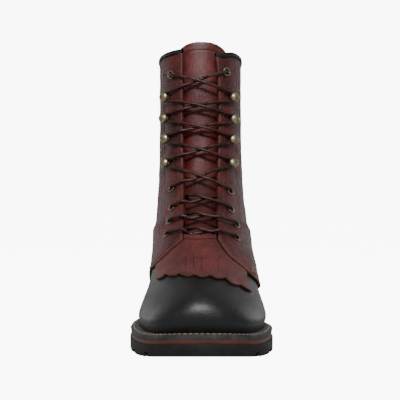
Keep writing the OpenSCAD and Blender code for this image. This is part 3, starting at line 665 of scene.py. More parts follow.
# ---- Heel: a stacked block of black rubber under the seat with a straight breast, and a harder
# top lift that meets the ground, nailed up from below before the lift is glued on
BREAST_W = math.acos(-(((72 - TOE_Y) / (HEEL_Y - TOE_Y) * 2 - 1) ** (1 / SOLE_POWER))) / (2 * math.pi)
heel = sole_layer("heel_block_rubber", 1, lambda y: top_z(y) - OUTSOLE_BOTTOM - 0.02, lambda y: y * 0 + 7.05,
                  13, [rubber], 0.5, (BREAST_W, 0.5), 2.0, rows=60)
settle(heel, "boot", "rubber", "heel_block")
lift_rubber = rubber_finish("lift_rubber", (21, 20, 20), 0.65, 0.7)
lift = sole_layer("heel_top_lift_rubber", 0.6, lambda y: y * 0 + 7, lambda y: y * 0.0, 7, [lift_rubber], 0.8,
                  (BREAST_W, 0.5), 2.0, rows=60)
settle(lift, "boot", "rubber", "heel_top_lift")

# ---- Midsole: a 3.3 mm sheet of red-brown sole leather, its edge inked and burnished so that
# the layers of the hide show as fine lines
MIDSOLE_TOP, MIDSOLE_BOTTOM = 4.02, 7.3


def midsole_finish():
    f = Finish("burnished_edge", {"Specular IOR Level": 0.5, "Coat Weight": 0.15, "Coat Roughness": 0.35})
    layers = f.noise(0.9, 3, where=f.stretched(f.place, (0.06, 0.06, 1)))
    patch = f.noise(22, 2)
    base = f.blend(f.ramp(patch, 0.3, 0.7), rgb(78, 36, 28), rgb(98, 49, 38))
    f.colour(f.blend(f.ramp(layers, 0.35, 0.7, 0, 0.65), base, rgb(56, 36, 30)))
    f.rough(layers, 0.38, 0.55)
    f.bump(layers, 0.12, 0.7)
    return f.material


midsole = sole_layer("midsole_leather", 1, lambda y: top_z(y) - MIDSOLE_TOP,
                     lambda y: top_z(y) - MIDSOLE_BOTTOM,
                     MIDSOLE_BOTTOM - MIDSOLE_TOP, [midsole_finish()], 0.35)
settle(midsole, "boot", "midsole", "midsole")

# ---- Welt: a strip of black leather round the whole sole, 4 mm thick, sewn to the upper's rim
# and stitched through to the midsole, with a slightly domed top and a rounded lip
WELT_T, WELT_INSIDE = 4.0, 14.0
WELT_RISE, WELT_LIP = 1.0, 0.5


def dyed_edge_finish(name, tone, lighter):
    f = Finish(name, {"Specular IOR Level": 0.45})
    dust = f.noise(7, 4)
    grain = f.noise(0.6, 3)
    f.colour(f.blend(f.ramp(dust, 0.3, 0.75), rgb(*tone), rgb(*lighter)))
    f.rough(dust, 0.45, 0.66)
    f.bump(f.sum((grain, 0.6), (dust, 0.4)), 0.2, 0.7)
    return f.material


def welt_place(f, g):
    inset = mix(WELT_INSIDE, 0.4, g)
    p = rim_in((0.5 - f) % 1.0, inset)
    dome = (WELT_RISE * smooth(inset, 2.4, 6.4) * (1 - smooth(inset, 8.6, 9.4))
            - WELT_LIP * (1 - smooth(inset, 0.4, 2.4)))
    return np.c_[p * MM, dome * MM]


welt_leather = dyed_edge_finish("welt_leather", (44, 40, 38), (76, 70, 66))
welt = cut_sheet("welt_strip", 260, 28, welt_place, WELT_T, [welt_leather], 0.9, (0.75, 0.014), angle=35)
co = vertices_of(welt)
y = co[:, 1] / MM
rim_side = co[:, 2] / MM
co[:, 2] = (top_z(y) + rim_side) * MM
move_vertices(welt, co)
soften(welt, 35)
settle(welt, "boot", "welt", "welt")

# ---- Welt stitching: waxed grey lock stitches, a little over 4 mm apart, that lie in the welt's
# top 3 mm in from its edge, from one side of the heel round the toe to the other
welt_line = np.linspace(-0.33, 0.33, 1600)


def stitch_form():
    """One stitch, modelled once: a thread pulled down at both ends"""
    bpy.ops.object.select_all(action="DESELECT")
    bpy.ops.mesh.primitive_uv_sphere_add(segments=8, ring_count=6, radius=1, rotation=(0, math.pi / 2, 0))
    bead = bpy.context.object
    bpy.ops.object.transform_apply(location=False, rotation=True, scale=False)
    shape = vertices_of(bead)
    faces = [tuple(p.vertices) for p in bead.data.polygons]
    bpy.data.objects.remove(bead)
    shape[:, 2] -= 0.9 * shape[:, 0] ** 2
    return shape, faces


STITCH_SHAPE, STITCH_FACES = stitch_form()


def stitched(name, runs, pitch, radius, material, fill=0.82):
    """Rows of stitches. Each run is (points, outward directions) along a seam, in metres."""
    vertices, faces = [], []
    for points, out in runs:
        length = np.concatenate([[0], np.cumsum(np.linalg.norm(np.diff(points, axis=0), axis=1))])
        at = np.arange(pitch * MM / 2, length[-1], pitch * MM)
        take = lambda values, s: np.stack([np.interp(s, length, values[:, k]) for k in range(3)], -1)
        middle, up = take(points, at), take(out, at)
        ahead = take(points, at + 0.3 * MM) - take(points, at - 0.3 * MM)
        ahead /= np.linalg.norm(ahead, axis=1, keepdims=True)
        up = up - ahead * (up * ahead).sum(1, keepdims=True)
        up /= np.linalg.norm(up, axis=1, keepdims=True)
        side = np.cross(up, ahead)
        half = pitch * fill / 2 * MM
        r = radius * MM
        for m, x, y, z in zip(middle, ahead, side, up):
            start = len(vertices) * len(STITCH_SHAPE)
            vertices.append(m + np.outer(STITCH_SHAPE[:, 0] * half, x) + np.outer(STITCH_SHAPE[:, 1] * r, y)
                            + np.outer(STITCH_SHAPE[:, 2] * r, z))
            faces += [tuple(start + i for i in face) for face in STITCH_FACES]
    return solid(name, np.concatenate(vertices), faces, None, [material], 80)


def thread_finish(name, tone, darker):
    f = Finish(name, {"Specular IOR Level": 0.4, "Sheen Weight": 0.2})
    ply = f.noise(0.5, 2)
    soiled = f.noise(12, 2)
    base = f.blend(f.ramp(soiled, 0.35, 0.7), rgb(*tone), rgb(*darker))
    f.colour(f.blend(f.ramp(ply, 0.3, 0.7, 0, 0.4), base, rgb(*darker)))
    f.rough(ply, 0.5, 0.7)
    f.bump(ply, 0.1, 0.7)
    return f.material


seam = rim_in(welt_line % 1.0, 3.2)
seam_points = np.c_[seam, top_z(seam[:, 1]) + 0.32] * MM
upright = np.tile([0, 0, 1.0], (len(seam_points), 1))
welt_thread = stitched("welt_stitching", [(seam_points, upright)], 4.3, 0.5,
                       thread_finish("waxed_welt_thread", (140, 133, 124), (96, 90, 84)))
settle(welt_thread, "boot", "welt_thread", "welt_thread")

# ---- Hidden sole parts: the insole board, the cork that fills the hollow inside the welt, the
# steel shank and the heel nails keep the part's own shapes and get their finishes
nodes = frame["nodes"]


def coat(obj, material):
    obj.data.materials.clear()
    obj.data.materials.append(material)


def finished(node, material):
    coat(nodes[node], material)


def fibre_finish(name, tone, fleck, size):
    f = Finish(name, {"Specular IOR Level": 0.3})
    chips = f.cells(size)
    f.colour(f.blend(f.ramp(chips, 0.15, 0.6), rgb(*fleck), rgb(*tone)))
    f.rough(chips, 0.75, 0.9)
    f.bump(f.sum((chips, 0.7), (f.noise(0.5), 0.3)), 0.3, 0.8)
    return f.material


def metal_finish(name, tone, tarnish, rough, size=2.0):
    f = Finish(name, {"Metallic": 1.0})
    patina = f.noise(size, 4)
    scuff = f.noise(0.35, 2)
    f.colour(f.blend(f.ramp(patina, 0.35, 0.7), rgb(*tarnish), rgb(*tone)))
    f.rough(patina, rough + 0.14, rough)
    f.bump(scuff, 0.05, 0.5)
    return f.material


finished("insole_board", fibre_finish("fibre_board", (190, 160, 122), (150, 118, 84), 0.8))
finished("cork_filler", fibre_finish("ground_cork", (168, 124, 78), (98, 66, 40), 2.2))
finished("steel_shank", metal_finish("shank_steel", (150, 152, 156), (96, 98, 102), 0.32, 6))
finished("heel_nails", metal_finish("nail_steel", (160, 160, 158), (110, 104, 96), 0.35))

# ---- Footbed: a removable foam insole under the lace ends, faced with black woven cloth


def cloth_finish(name, tone, lighter, thread):
    """Plain weave on the sheet's own UV"""
    f = Finish(name, {"Specular IOR Level": 0.3, "Sheen Weight": 0.25, "Sheen Roughness": 0.5})
    bands = {"Vector": f.surface, "Scale": 1 / (thread * MM) / 6.283 * 3.14159}
    warp = f.add("TexWave", bands, bands_direction="X").outputs["Fac"]
    weft = f.add("TexWave", bands, bands_direction="Y").outputs["Fac"]
    weave = f.add("Math", {0: warp, 1: weft}, operation="MAXIMUM").outputs[0]
    worn = f.noise(16)
    f.colour(f.blend(f.sum((weave, 0.6), (worn, 0.4)), rgb(*tone), rgb(*lighter)))
    f.rough(worn, 0.75, 0.92)
    f.bump(weave, 0.15, 0.8)
    return f.material


footbed = sole_layer("footbed_insole", 15.7, lambda y: top_z(y) + 4.3, lambda y: top_z(y) + 1.45, 2.85,
                     [cloth_finish("insole_cloth", (30, 30, 32), (52, 52, 55), 1.0)], 0.8)
settle(footbed, "boot", "footbed", "footbed")

# ---- Vamp: one piece of smooth black leather, 2 mm thick, lasted over the toe and down to the
# Vamp: one piece of smooth black leather, 2 mm thick, lasted over the toe and down to the
# welt, with a light gloss all over
VAMP_BACK_U = 0.58


def rolling(points, wave, seed):
    """Soft rise and fall of hand-worked leather, mostly between -1 and 1"""
    draw = np.random.default_rng(seed)
    k = draw.normal(size=(16, 3))
    k *= (2 * math.pi / (wave * MM * draw.uniform(0.7, 1.6, 16)) / np.linalg.norm(k, axis=1))[:, None]
    return np.sin(points @ k.T + draw.uniform(0, 2 * math.pi, 16)).sum(-1) / 4


def leather_finish(name, dark, light, pebble, relief, rough, crease_shade, constants, tint=None):
    """Grained leather: pebbles pebble mm across that stand relief mm proud, with painted shade in the creases
    between them
    """
    f = Finish(name, constants)
    where = f.warped(pebble * 3, pebble * 0.5)
    grain = f.cells(pebble, "SMOOTH_F1", where)
    crease = f.cells(pebble, "DISTANCE_TO_EDGE", where)
    pores = f.noise(0.45, 2)
    mottle = f.noise(26, 4, 0.4)
    fine = f.noise(4, 3)
    base = f.blend(f.ramp(f.sum((mottle, 0.65), (fine, 0.35)), 0.36, 0.64), rgb(*dark), rgb(*light))
    if tint is not None:
        base = tint(f, base)
    # Painted shade: the colour darkens in the grain's creases, towards 45% of the dark tone
    f.colour(f.blend(f.ramp(crease, 0.0, 0.16, crease_shade, 0.0), base, rgb(*[c * 0.45 for c in dark])))
    f.rough(f.sum((mottle, 0.5), (fine, 0.5)), *rough)
    height = f.sum((grain, -0.55), (f.ramp(crease, 0, 0.2), 0.3), (pores, 0.15))
    f.bump(height, relief, 0.9)
    return f.material


def cut_edge_finish(name, tone, lighter):
    f = Finish(name, {"Specular IOR Level": 0.3})
    fibre = f.noise(0.5, 4)
    f.colour(f.blend(f.ramp(fibre, 0.3, 0.7), rgb(*tone), rgb(*lighter)))
    f.rough(fibre, 0.65, 0.85)
    f.bump(fibre, 0.2, 0.9)
    return f.material


def vamp_top(u):
    return 0.4 - 0.045 * smooth(np.abs(u), 0.13, 0.19)


def vamp_place(f, g):
    u = mix(-VAMP_BACK_U, VAMP_BACK_U, f)
    v = mix(WELT_V, vamp_top(u), g)
    flat = skin(u, v)
    return skin(u, v, 0.12 * rolling(flat, 34, 3) * smooth(v, 0.12, 0.24))


black_leather = leather_finish("black_leather", (12, 11, 11), (21, 20, 20), 0.9, 0.1, (0.36, 0.5), 0.25,
                               {"Specular IOR Level": 0.5, "Coat Weight": 0.15, "Coat Roughness": 0.36})
black_edge = cut_edge_finish("black_cut_edge", (26, 24, 23), (44, 40, 38))
flesh_side = cut_edge_finish("flesh_side", (92, 82, 74), (120, 108, 98))
vamp = cut_sheet("vamp_leather", 210, 96, vamp_place, LEATHER_T, [black_leather, flesh_side, black_edge], 0.3,
                 (0.42, 0.15))
settle(vamp, "boot", "black_leather", "vamp")

# ---- Linings: soft black kid behind the vamp and the counter, and black woven cloth up the
# shaft, 1.4 mm thick and cemented to the leather at its edges
lining_cloth = cloth_finish("lining_cloth", (26, 27, 29), (46, 47, 50), 0.8)
kid = leather_finish("lining_kid", (40, 39, 40), (58, 56, 57), 0.8, 0.06, (0.6, 0.75), 0.15,
                     {"Specular IOR Level": 0.3})


def lining(name, node, place, cols, rows, material):
    obj = cut_sheet(name, cols, rows, place, LINING_T, [material], 0.25, (0.4, 0.3))
    settle(obj, "boot", "lining", node)


def vamp_lining_place(f, g):
    u = mix(-VAMP_BACK_U, VAMP_BACK_U, f)
    v = mix(WELT_V, vamp_top(u) - 0.003, g)
    return skin(u, v, lining_out(v))


def heel_lining_place(f, g):
    v = mix(WELT_V, 0.3985, g)
    return skin(mix(VAMP_BACK_U + 0.004, 1.996 - VAMP_BACK_U, f), v, lining_out(v))


def shaft_lining_place(side):
    def place(f, g):
        v = mix(0.401, COLLAR_V, g)
        front = gap(v, side) + 0.3 + 2.6 * (1 - smooth(v, 0.45, 0.5))
        u = mix(np.abs(u_at(side * front, v)), 0.998, f if side > 0 else 1 - f)
        return skin(side * u, v - collar_dip(side * u, v), lining_out(v))
    return place


lining("vamp_lining_kid", "vamp_lining", vamp_lining_place, 120, 50, kid)
lining("heel_lining_kid", "heel_lining", heel_lining_place, 120, 40, kid)
lining("shaft_lining_left", "quarter_lining_left", shaft_lining_place(LEFT), 60, 90, lining_cloth)
lining("shaft_lining_right", "quarter_lining_right", shaft_lining_place(RIGHT), 60, 90, lining_cloth)
finished("toe_puff", fibre_finish("puff_board", (150, 136, 110), (116, 100, 78), 0.9))
finished("counter_stiffener", fibre_finish("counter_board", (142, 126, 104), (106, 92, 72), 0.9))

# ---- Quarters: the two sides of the shaft, oiled chestnut leather with a soft pebbled grain,
# 2 mm thick. Their lower front edges are left raw and lap over the vamp.
def raw_band(f, base):
    """A paler brown band along the raw front edge, where the finish stops short of the cut"""
    place = f.add("SeparateXYZ", {"Vector": f.surface})
    centred = f.add("Math", {0: place.outputs["X"], 1: QUARTER_SPAN[0] / 2}, operation="SUBTRACT").outputs[0]
    beside = f.add("Math", {0: centred}, operation="ABSOLUTE").outputs[0]
    low = f.ramp(place.outputs["Y"], 0.125, 0.14, 1, 0)
    near = f.ramp(beside, QUARTER_SPAN[0] * 0.463, QUARTER_SPAN[0] * 0.49, 0, 0.8)
    return f.blend(f.add("Math", {0: near, 1: low}, operation="MULTIPLY").outputs[0], base, rgb(104, 60, 44))


QUARTER_SPAN = (0.35, 0.3)
chestnut = leather_finish("chestnut_leather", (62, 22, 23), (96, 38, 36), 1.9, 0.34, (0.42, 0.58), 0.55,
                          {"Specular IOR Level": 0.36, "Sheen Weight": 0.04, "Sheen Roughness": 0.45,
                           "Coat Weight": 0.02, "Coat Roughness": 0.45}, raw_band)
chestnut_edge = cut_edge_finish("chestnut_cut_edge", (70, 40, 32), (98, 62, 48))


def quarter_edge(v, side):
    corner = DIAGONAL[side][0]
    facing = np.abs(u_at(side * gap(np.maximum(v, THROAT_V), side), np.maximum(v, THROAT_V)))
    low = mix(0.52, corner[1], np.clip(v / corner[0], 0, 1) ** 3)
    return np.where(v < corner[0], low, np.where(v < THROAT_V, curve(DIAGONAL[side], v), facing))


def quarter_place(side):
    def place(f, g):
        v = np.interp(g, [0, 0.2, 0.42, 1], [WELT_V, DIAGONAL[side][0][0], THROAT_V, COLLAR_V])
        away = f if side > 0 else 1 - f
        u = mix(quarter_edge(v, side), 0.9985, away ** 1.1)
        v = v - collar_dip(side * u, v)
        flat = skin(side * u, v)
        soft = 0.16 * rolling(flat, 24, 7) + 0.1 * rolling(flat, 11, 8)
        bend = -0.35 * np.maximum(np.sin((v - 0.37) * 62 + u * 7), 0) ** 3 * (
            smooth(v, 0.36, 0.42) * (1 - smooth(v, 0.52, 0.6))
            * smooth(u, 0.22, 0.34) * (1 - smooth(u, 0.62, 0.75)))
        inner = (smooth(away, 0, 0.03) * (1 - smooth(away, 0.95, 1))
                 * smooth(g, 0, 0.04) * (1 - smooth(g, 0.96, 1)))
        return skin(side * u, v, lap(u, v) + (soft + bend) * inner)
    return place


def aligned(x, v, t=0.0):
    """A frame on the skin at x, v: its z outward, its x level and to the boot's medial side"""
    u = u_at(x, v)
    p, n = skin(u, v, t), outward(u, v)
    level = np.cross((0, 0, 1.0), n) * -1 if n[1] > 0 else np.cross((0, 0, 1.0), n)
    level = level / np.linalg.norm(level)
    return Matrix(np.column_stack([level, np.cross(n, level), n]).tolist()).to_4x4(), Vector(p)


def eyelet_holes(side):
    made = []
    for x, v in EYELETS[side]:
        turn, at = aligned(x, v)
        bpy.ops.object.select_all(action="DESELECT")
        bpy.ops.mesh.primitive_cylinder_add(vertices=24, radius=3.05 * MM, depth=16 * MM, location=at,
                                            rotation=turn.to_euler())
        made.append(bpy.context.object)
    return joined("holes", made)


SIDES = ((LEFT, "left"), (RIGHT, "right"))
for side, name in SIDES:
    quarter = cut_sheet("quarter_leather_" + name, 110, 150, quarter_place(side), LEATHER_T,
                        [chestnut, flesh_side, chestnut_edge], 0.4, QUARTER_SPAN)
    cut_away(quarter, eyelet_holes(side))
    soften(quarter, 45)
    settle(quarter, "boot", "chestnut_leather", "quarter_" + name)
    cut_away(bpy.data.objects["shaft_lining_" + name], eyelet_holes(side))


# ---- Upper stitching: waxed dark red-brown thread in double rows along the raw front edges and
# single rows beside the facings and under the collar
SEAM_PITCH, SEAM_RADIUS = 2.6, 0.3


def seam_run(us, vs, t):
    """A run of stitches t mm outside the skin, through smooth u and v"""
    us, vs = np.asarray(us, float), np.asarray(vs, float)
    return skin(us, vs, t), outward(us, vs)


shaft_thread = thread_finish("shaft_thread", (92, 56, 48), (58, 34, 30))
for side, name in SIDES:
    runs = []
    v_low = np.linspace(DIAGONAL[side][0][0] + 0.004, THROAT_V, 160)
    for step in (0.013, 0.022):
        u = quarter_edge(v_low, side) + step
        runs.append(seam_run(side * u, v_low, lap(u, v_low) + 0.12))
    v_high = np.linspace(0.4, 0.982, 400)
    for inset in (5.6, 18.5, 21.0):
        u = np.abs(u_at(side * (gap(v_high, side) + inset), v_high))
        runs.append(seam_run(side * u, v_high - collar_dip(side * u, v_high), lap(u, v_high) + 0.12))
    u_top = np.linspace(float(np.abs(u_at(side * (gap(0.98, side) + 7), 0.98))), 0.92, 300)
    runs.append(seam_run(side * u_top, 0.982 - collar_dip(side * u_top, 0.982), 0.12))
    thread = stitched("quarter_stitching_" + name, runs, SEAM_PITCH, SEAM_RADIUS, shaft_thread)
    settle(thread, "boot", "tack_thread")

# ---- Counter cover and backstay: black leather round the heel, cut in a curve at the sides, and
# a chestnut strip that covers the back seam from it up to the collar
BACKSTAY_U = (0.925, 1.075)


def counter_sides(v):
    """The counter cover's front edges at level v, on the medial and on the lateral side"""
    return 0.7 + v * 0.32, 1.3 - v * 0.32


def counter_place(f, g):
    v = mix(0.006, 0.47, g)
    u = mix(*counter_sides(v), f)
    return skin(u, v, 1.85)


def backstay_place(f, g):
    v = mix(0.48, COLLAR_V, g)
    return skin(mix(*BACKSTAY_U, f), v, 1.6 + 0.08 * rolling(skin(mix(*BACKSTAY_U, f), v), 15, 5))


counter = cut_sheet("counter_cover_leather", 120, 80, counter_place, 1.5,
                    [black_leather, flesh_side, black_edge], 0.35, (0.2, 0.12))
settle(counter, "boot", "black_leather", "counter_cover")
backstay = cut_sheet("backstay_leather", 24, 120, backstay_place, 1.35,
                     [chestnut, flesh_side, chestnut_edge], 0.35, (0.04, 0.18))
settle(backstay, "boot", "chestnut_leather", "backstay")
black_thread = thread_finish("black_thread", (58, 54, 52), (34, 32, 31))
v_side = np.linspace(0.03, 0.462, 300)
medial_edge, lateral_edge = counter_sides(v_side)
runs = [seam_run(medial_edge + s, v_side, 1.98) for s in (0.012, 0.02)]
runs += [seam_run(lateral_edge - s, v_side, 1.98) for s in (0.012, 0.02)]
u_across = np.linspace(0.865, 1.135, 200)
runs += [seam_run(u_across, np.full(200, v), 1.98) for v in (0.462, 0.455)]
settle(stitched("counter_stitching", runs, SEAM_PITCH, SEAM_RADIUS, black_thread), "boot", "tack_thread")
v_back = np.linspace(0.486, 0.984, 300)
runs = [seam_run(np.full(300, u), v_back, 1.72) for u in (0.934, 1.066)]
runs.append(seam_run(np.linspace(0.934, 1.066, 60), np.full(60, 0.486), 1.72))
settle(stitched("backstay_stitching", runs, SEAM_PITCH, SEAM_RADIUS, shaft_thread), "boot", "tack_thread")

# ---- Collar binding: black leather tape folded over the top edge of quarters and lining, and
# sewn through from outside
FOLD = [(0, (0.9912, 1.1)), (0.2, (0.9965, 1.15)), (0.36, (1.0025, 0.5)), (0.5, (1.0045, -1.3)),
        (0.64, (1.003, -3.1)), (0.8, (0.997, -4.25)), (1, (0.9885, -4.3))]


def binding_place(f, g):
    fold = curve(FOLD, g)
    v, t = fold[:, 0], fold[:, 1]
    start = np.abs(u_at(gap(0.995, RIGHT) + 0 * f, 0.995))
    end = 2 - np.abs(u_at(-gap(0.995, LEFT) + 0 * f, 0.995))
    u = mix(start, end, f)
    return skin(u, v - collar_dip(u, v), t)


tape = leather_finish("binding_leather", (15, 16, 15), (30, 31, 29), 0.7, 0.12, (0.45, 0.6), 0.3,
                      {"Specular IOR Level": 0.45})
binding = cut_sheet("collar_binding_tape", 300, 18, binding_place, 0.7, [tape], 0.1, (0.4, 0.02), angle=60)
settle(binding, "boot", "binding", "collar_binding")

# ---- Facing strips: a lighter, redder strip of leather folded round each front edge of the
# shaft, with its outer edge rolled under
strip_leather = leather_finish("facing_leather", (66, 25, 21), (96, 42, 34), 1.2, 0.15, (0.42, 0.58), 0.4,
                               {"Specular IOR Level": 0.45})
STRIP = [(0, (-0.35, -3.3)), (0.22, (-0.5, -1.5)), (0.36, (-0.35, 0.2)), (0.48, (0.5, 1.0)),
         (0.7, (2.2, 1.15)), (0.9, (3.9, 0.95)), (1, (4.4, 0.55))]


def strip_place(side):
    def place(f, g):
        v = mix(0.478, COLLAR_V, g)
        profile = curve(STRIP, f if side > 0 else 1 - f)
        u = u_at(side * (gap(v, side) + profile[:, 0]), v)
        return skin(u, v - collar_dip(u, v), profile[:, 1] + 0.1 * rolling(skin(u, v), 8, 11))
    return place


for side, name in SIDES:
    strip = cut_sheet("facing_strip_leather_" + name, 16, 160, strip_place(side), 0.55, [strip_leather], 0.1,
                      (0.008, 0.18), angle=60)
    settle(strip, "boot", "edge_leather", "facing_strip_" + name)

# ---- Kiltie: a loose shield of chestnut leather over the throat. Its base is sewn down under
# the lowest lace, and its fringe hangs over the vamp with a scalloped end and narrow slits.
FRINGE_NOTCHES = [(-0.3, 0.19), (-0.222, 0.222), (-0.13, 0.24), (-0.037, 0.243), (0.055, 0.236),
                  (0.148, 0.212), (0.24, 0.168), (0.29, 0.15)]
LOBE_PITCH, LOBE_DEPTH = 0.0925, 0.013
LOBE_DROP = 0.0165
FRINGE_ENDS = (-0.3, 0.288)
FRINGE_COLS, FRINGE_ROWS = 294, 90
SLITS = [-0.037 - LOBE_PITCH / 2, -0.037 + LOBE_PITCH / 2, -0.037 + LOBE_PITCH * 1.5, -0.037]


def fringe_low(u):
    return (curve(FRINGE_NOTCHES, u) - LOBE_DROP
            - LOBE_DEPTH * np.abs(np.sin(math.pi * (u + 0.037) / LOBE_PITCH)))


def fringe_high(u):
    tops = []
    for side in (LEFT, RIGHT):
        edge = [(d[1], d[0]) for d in reversed(DIAGONAL[side])]
        tops.append(np.minimum(THROAT_V + 0.0018, curve(edge, np.maximum(np.abs(u) + 0.013, edge[0][0]))))
    return np.where(u > 0, tops[1], tops[0])


def fringe_place(f, g):
    u = mix(*FRINGE_ENDS, f)
    v = mix(fringe_low(u), fringe_high(u), g)
    curl = 0.22 * (1 - smooth(g, 0, 0.4)) * np.sin(2 * math.pi * (u + 0.037) / LOBE_PITCH)
    return skin(u, v, 2.0 + curl + 0.1 * rolling(skin(u, v), 20, 13))


def fringe_keep(f, g):
    u = mix(*FRINGE_ENDS, f)
    half = (FRINGE_ENDS[1] - FRINGE_ENDS[0]) / FRINGE_COLS / 2
    return not any(abs(u - s) < half and 0.24 < g < 0.62 for s in SLITS)


kiltie_leather = leather_finish("kiltie_leather", (74, 29, 28), (102, 45, 42), 1.7, 0.26, (0.46, 0.6), 0.4,
                                {"Specular IOR Level": 0.4, "Sheen Weight": 0.05, "Sheen Roughness": 0.5})
fringe = cut_sheet("kiltie_fringe_leather", FRINGE_COLS, FRINGE_ROWS, fringe_place, 1.6,
                   [kiltie_leather, flesh_side, chestnut_edge], 0.2, (0.217, 0.07), fringe_keep)
settle(fringe, "kiltie_fringe", "chestnut_leather", "kiltie_fringe")


def kiltie_base_place(f, g):
    v = mix(0.3934, 0.409, g)
    return skin(u_at(mix(-13.6, 13.6, f), v), v, 1.85)


kiltie_base = cut_sheet("kiltie_base_leather", 60, 12, kiltie_base_place, 1.6,
                        [kiltie_leather, flesh_side, chestnut_edge], 0.3, (0.027, 0.006))
settle(kiltie_base, "boot", "chestnut_leather", "kiltie_base")

# ---- Tongue: 2.6 mm of softer, redder leather with a folded and sewn dome at the top, and a
# second layer sewn over its upper part
TONGUE_LOW, TONGUE_ROUND, TONGUE_TOP, TONGUE_HALF, TONGUE_LEAN = 0.35, 0.988, 1.0275, 31.0, 3.0


def tongue_top(x):
    rest = np.clip((1 - (x / TONGUE_HALF) ** 2) / 0.96, 0, 1)
    return TONGUE_ROUND + (TONGUE_TOP - TONGUE_ROUND) * rest ** 0.4


def on_tongue(x, v, t):
    lean = TONGUE_LEAN * smooth(v, 0.8, 1)
    u = u_at(x + lean, v)
    return skin(u, v, t - depth(v) - 4.2 + 0.25 * rolling(skin(u, v), 26, 17))


def tongue_place(f, g):
    x = TONGUE_HALF * (2 * f - 1)
    return on_tongue(x, mix(TONGUE_LOW, tongue_top(x), g), 0)


def hem_place(f, g):
    x = (TONGUE_HALF - 0.6) * (2 * f - 1)
    top = tongue_top(x)
    return on_tongue(x, mix(top - 0.0235, top - 0.0008, g), 0.55 - 0.35 * g ** 4)


def patch_place(f, g):
    x = 24.0 * (2 * f - 1)
    low = 0.844 + 0.014 * f - 0.004 * (2 * f - 1) ** 2
    return on_tongue(x, mix(low, tongue_top(x) - 0.0245, g),
                     1.0 + 0.25 * np.sin(math.pi * g) * np.cos(math.pi * (f - 0.5)))


def redder(f, base):
    """The tongue is redder in a band across its middle, between about 135 and 214 mm up, than above and below
    it
    """
    height = f.add("SeparateXYZ", {"Vector": f.place}).outputs["Z"]
    low = f.ramp(height, 0.135, 0.165)
    high = f.ramp(height, 0.196, 0.214, 1, 0)
    band = f.add("Math", {0: low, 1: high}, operation="MULTIPLY").outputs[0]
    return f.blend(band, base, rgb(88, 12, 5))


TONGUE_SHINE = {"Specular IOR Level": 0.42, "Sheen Weight": 0.06, "Sheen Roughness": 0.4, "Coat Weight": 0.08,
                "Coat Roughness": 0.4}
tongue_leather = leather_finish("tongue_leather", (62, 22, 20), (88, 34, 29), 1.6, 0.24, (0.42, 0.55), 0.4,
                                TONGUE_SHINE, redder)
patch_leather = leather_finish("patch_leather", (78, 28, 28), (112, 49, 47), 1.6, 0.22, (0.36, 0.48), 0.35,
                               TONGUE_SHINE)
tongue = cut_sheet("tongue_leather_piece", 70, 180, tongue_place, 2.6,
                   [tongue_leather, flesh_side, chestnut_edge], 0.6, (0.062, 0.22))
settle(tongue, "tongue", "tongue_leather", "tongue")
hem = cut_sheet("tongue_hem", 60, 8, hem_place, 0.5, [patch_leather], 0.15, (0.06, 0.008))
settle(hem, "tongue", "tongue_leather")
patch = cut_sheet("tongue_patch", 50, 50, patch_place, 1.1, [patch_leather, flesh_side, patch_leather], 0.35,
                  (0.048, 0.05))
settle(patch, "tongue", "tongue_leather")

# ---- Eyelets: two-part rolled eyelets of antique brass, 9 mm across, clenched through the
# quarter and its lining, the four lowest pairs and the topmost one
eyelet_brass = metal_finish("eyelet_brass", (186, 180, 160), (112, 104, 86), 0.38, 1.6)
EYELET_RING, EYELET_ROLL = 3.6, 0.95


def placed(obj, turn, at):
    """Moves a finished shape, made round the origin, to a frame on the skin"""
    co = vertices_of(obj)
    move_vertices(obj, co @ np.array(turn.to_3x3()).T + np.array(at))


def rolled_ring(height, flat):
    bpy.ops.object.select_all(action="DESELECT")
    bpy.ops.mesh.primitive_torus_add(major_radius=EYELET_RING * MM, minor_radius=EYELET_ROLL * MM,
                                     major_segments=40, minor_segments=12)
    ring = bpy.context.object
    co = vertices_of(ring)
    co[:, 2] = co[:, 2] * flat + height * MM
    move_vertices(ring, co)
    return ring


def barrel(low, high):
    bpy.ops.object.select_all(action="DESELECT")
    bpy.ops.mesh.primitive_cylinder_add(vertices=40, radius=3.0 * MM, depth=(high - low) * MM,
                                        end_fill_type="NOTHING", location=(0, 0, (high + low) / 2 * MM))
    bpy.ops.object.transform_apply(location=True)
    tube = bpy.context.object
    apply(tube, "SOLIDIFY", thickness=0.35 * MM, offset=-1)
    return tube


for side, name in SIDES:
    made = []
    for x, v in EYELETS[side]:
        turn, at = aligned(x, v)
        lift_here, under = lift_at((x, v)), -float(depth(v))
        parts = [rolled_ring(lift_here + 0.75, 0.42), rolled_ring(under - 0.02, 0.2),
                 barrel(under, lift_here + 0.75)]
        for part in parts:
            placed(part, turn, at)
        made += parts
    eyelets = joined("eyelets_brass_" + name, made)
    coat(eyelets, eyelet_brass)
    soften(eyelets, 50)
    settle(eyelets, "boot", "antique_brass", "eyelets_" + name)

# ---- Speed hooks: stamped antique-brass hooks in four pairs. Each is a riveted base, a strap
# that turns up and back from the base's inner edge, and a domed cap that keeps the lace in.
hook_brass = metal_finish("hook_brass", (204, 194, 162), (150, 138, 108), 0.34, 2.6)
STRAP = [(0, (3.0, 0.62)), (0.25, (4.3, 1.0)), (0.5, (4.75, 2.4)), (0.75, (4.0, 4.0)), (1, (1.6, 4.9))]
CAP_TILT, CAP_R, CAP_HEIGHT, CAP_LIFT = 26, 4.9, 3.1, 5.1
CAP_INSET = {LEFT: 1.6, RIGHT: 2.5}


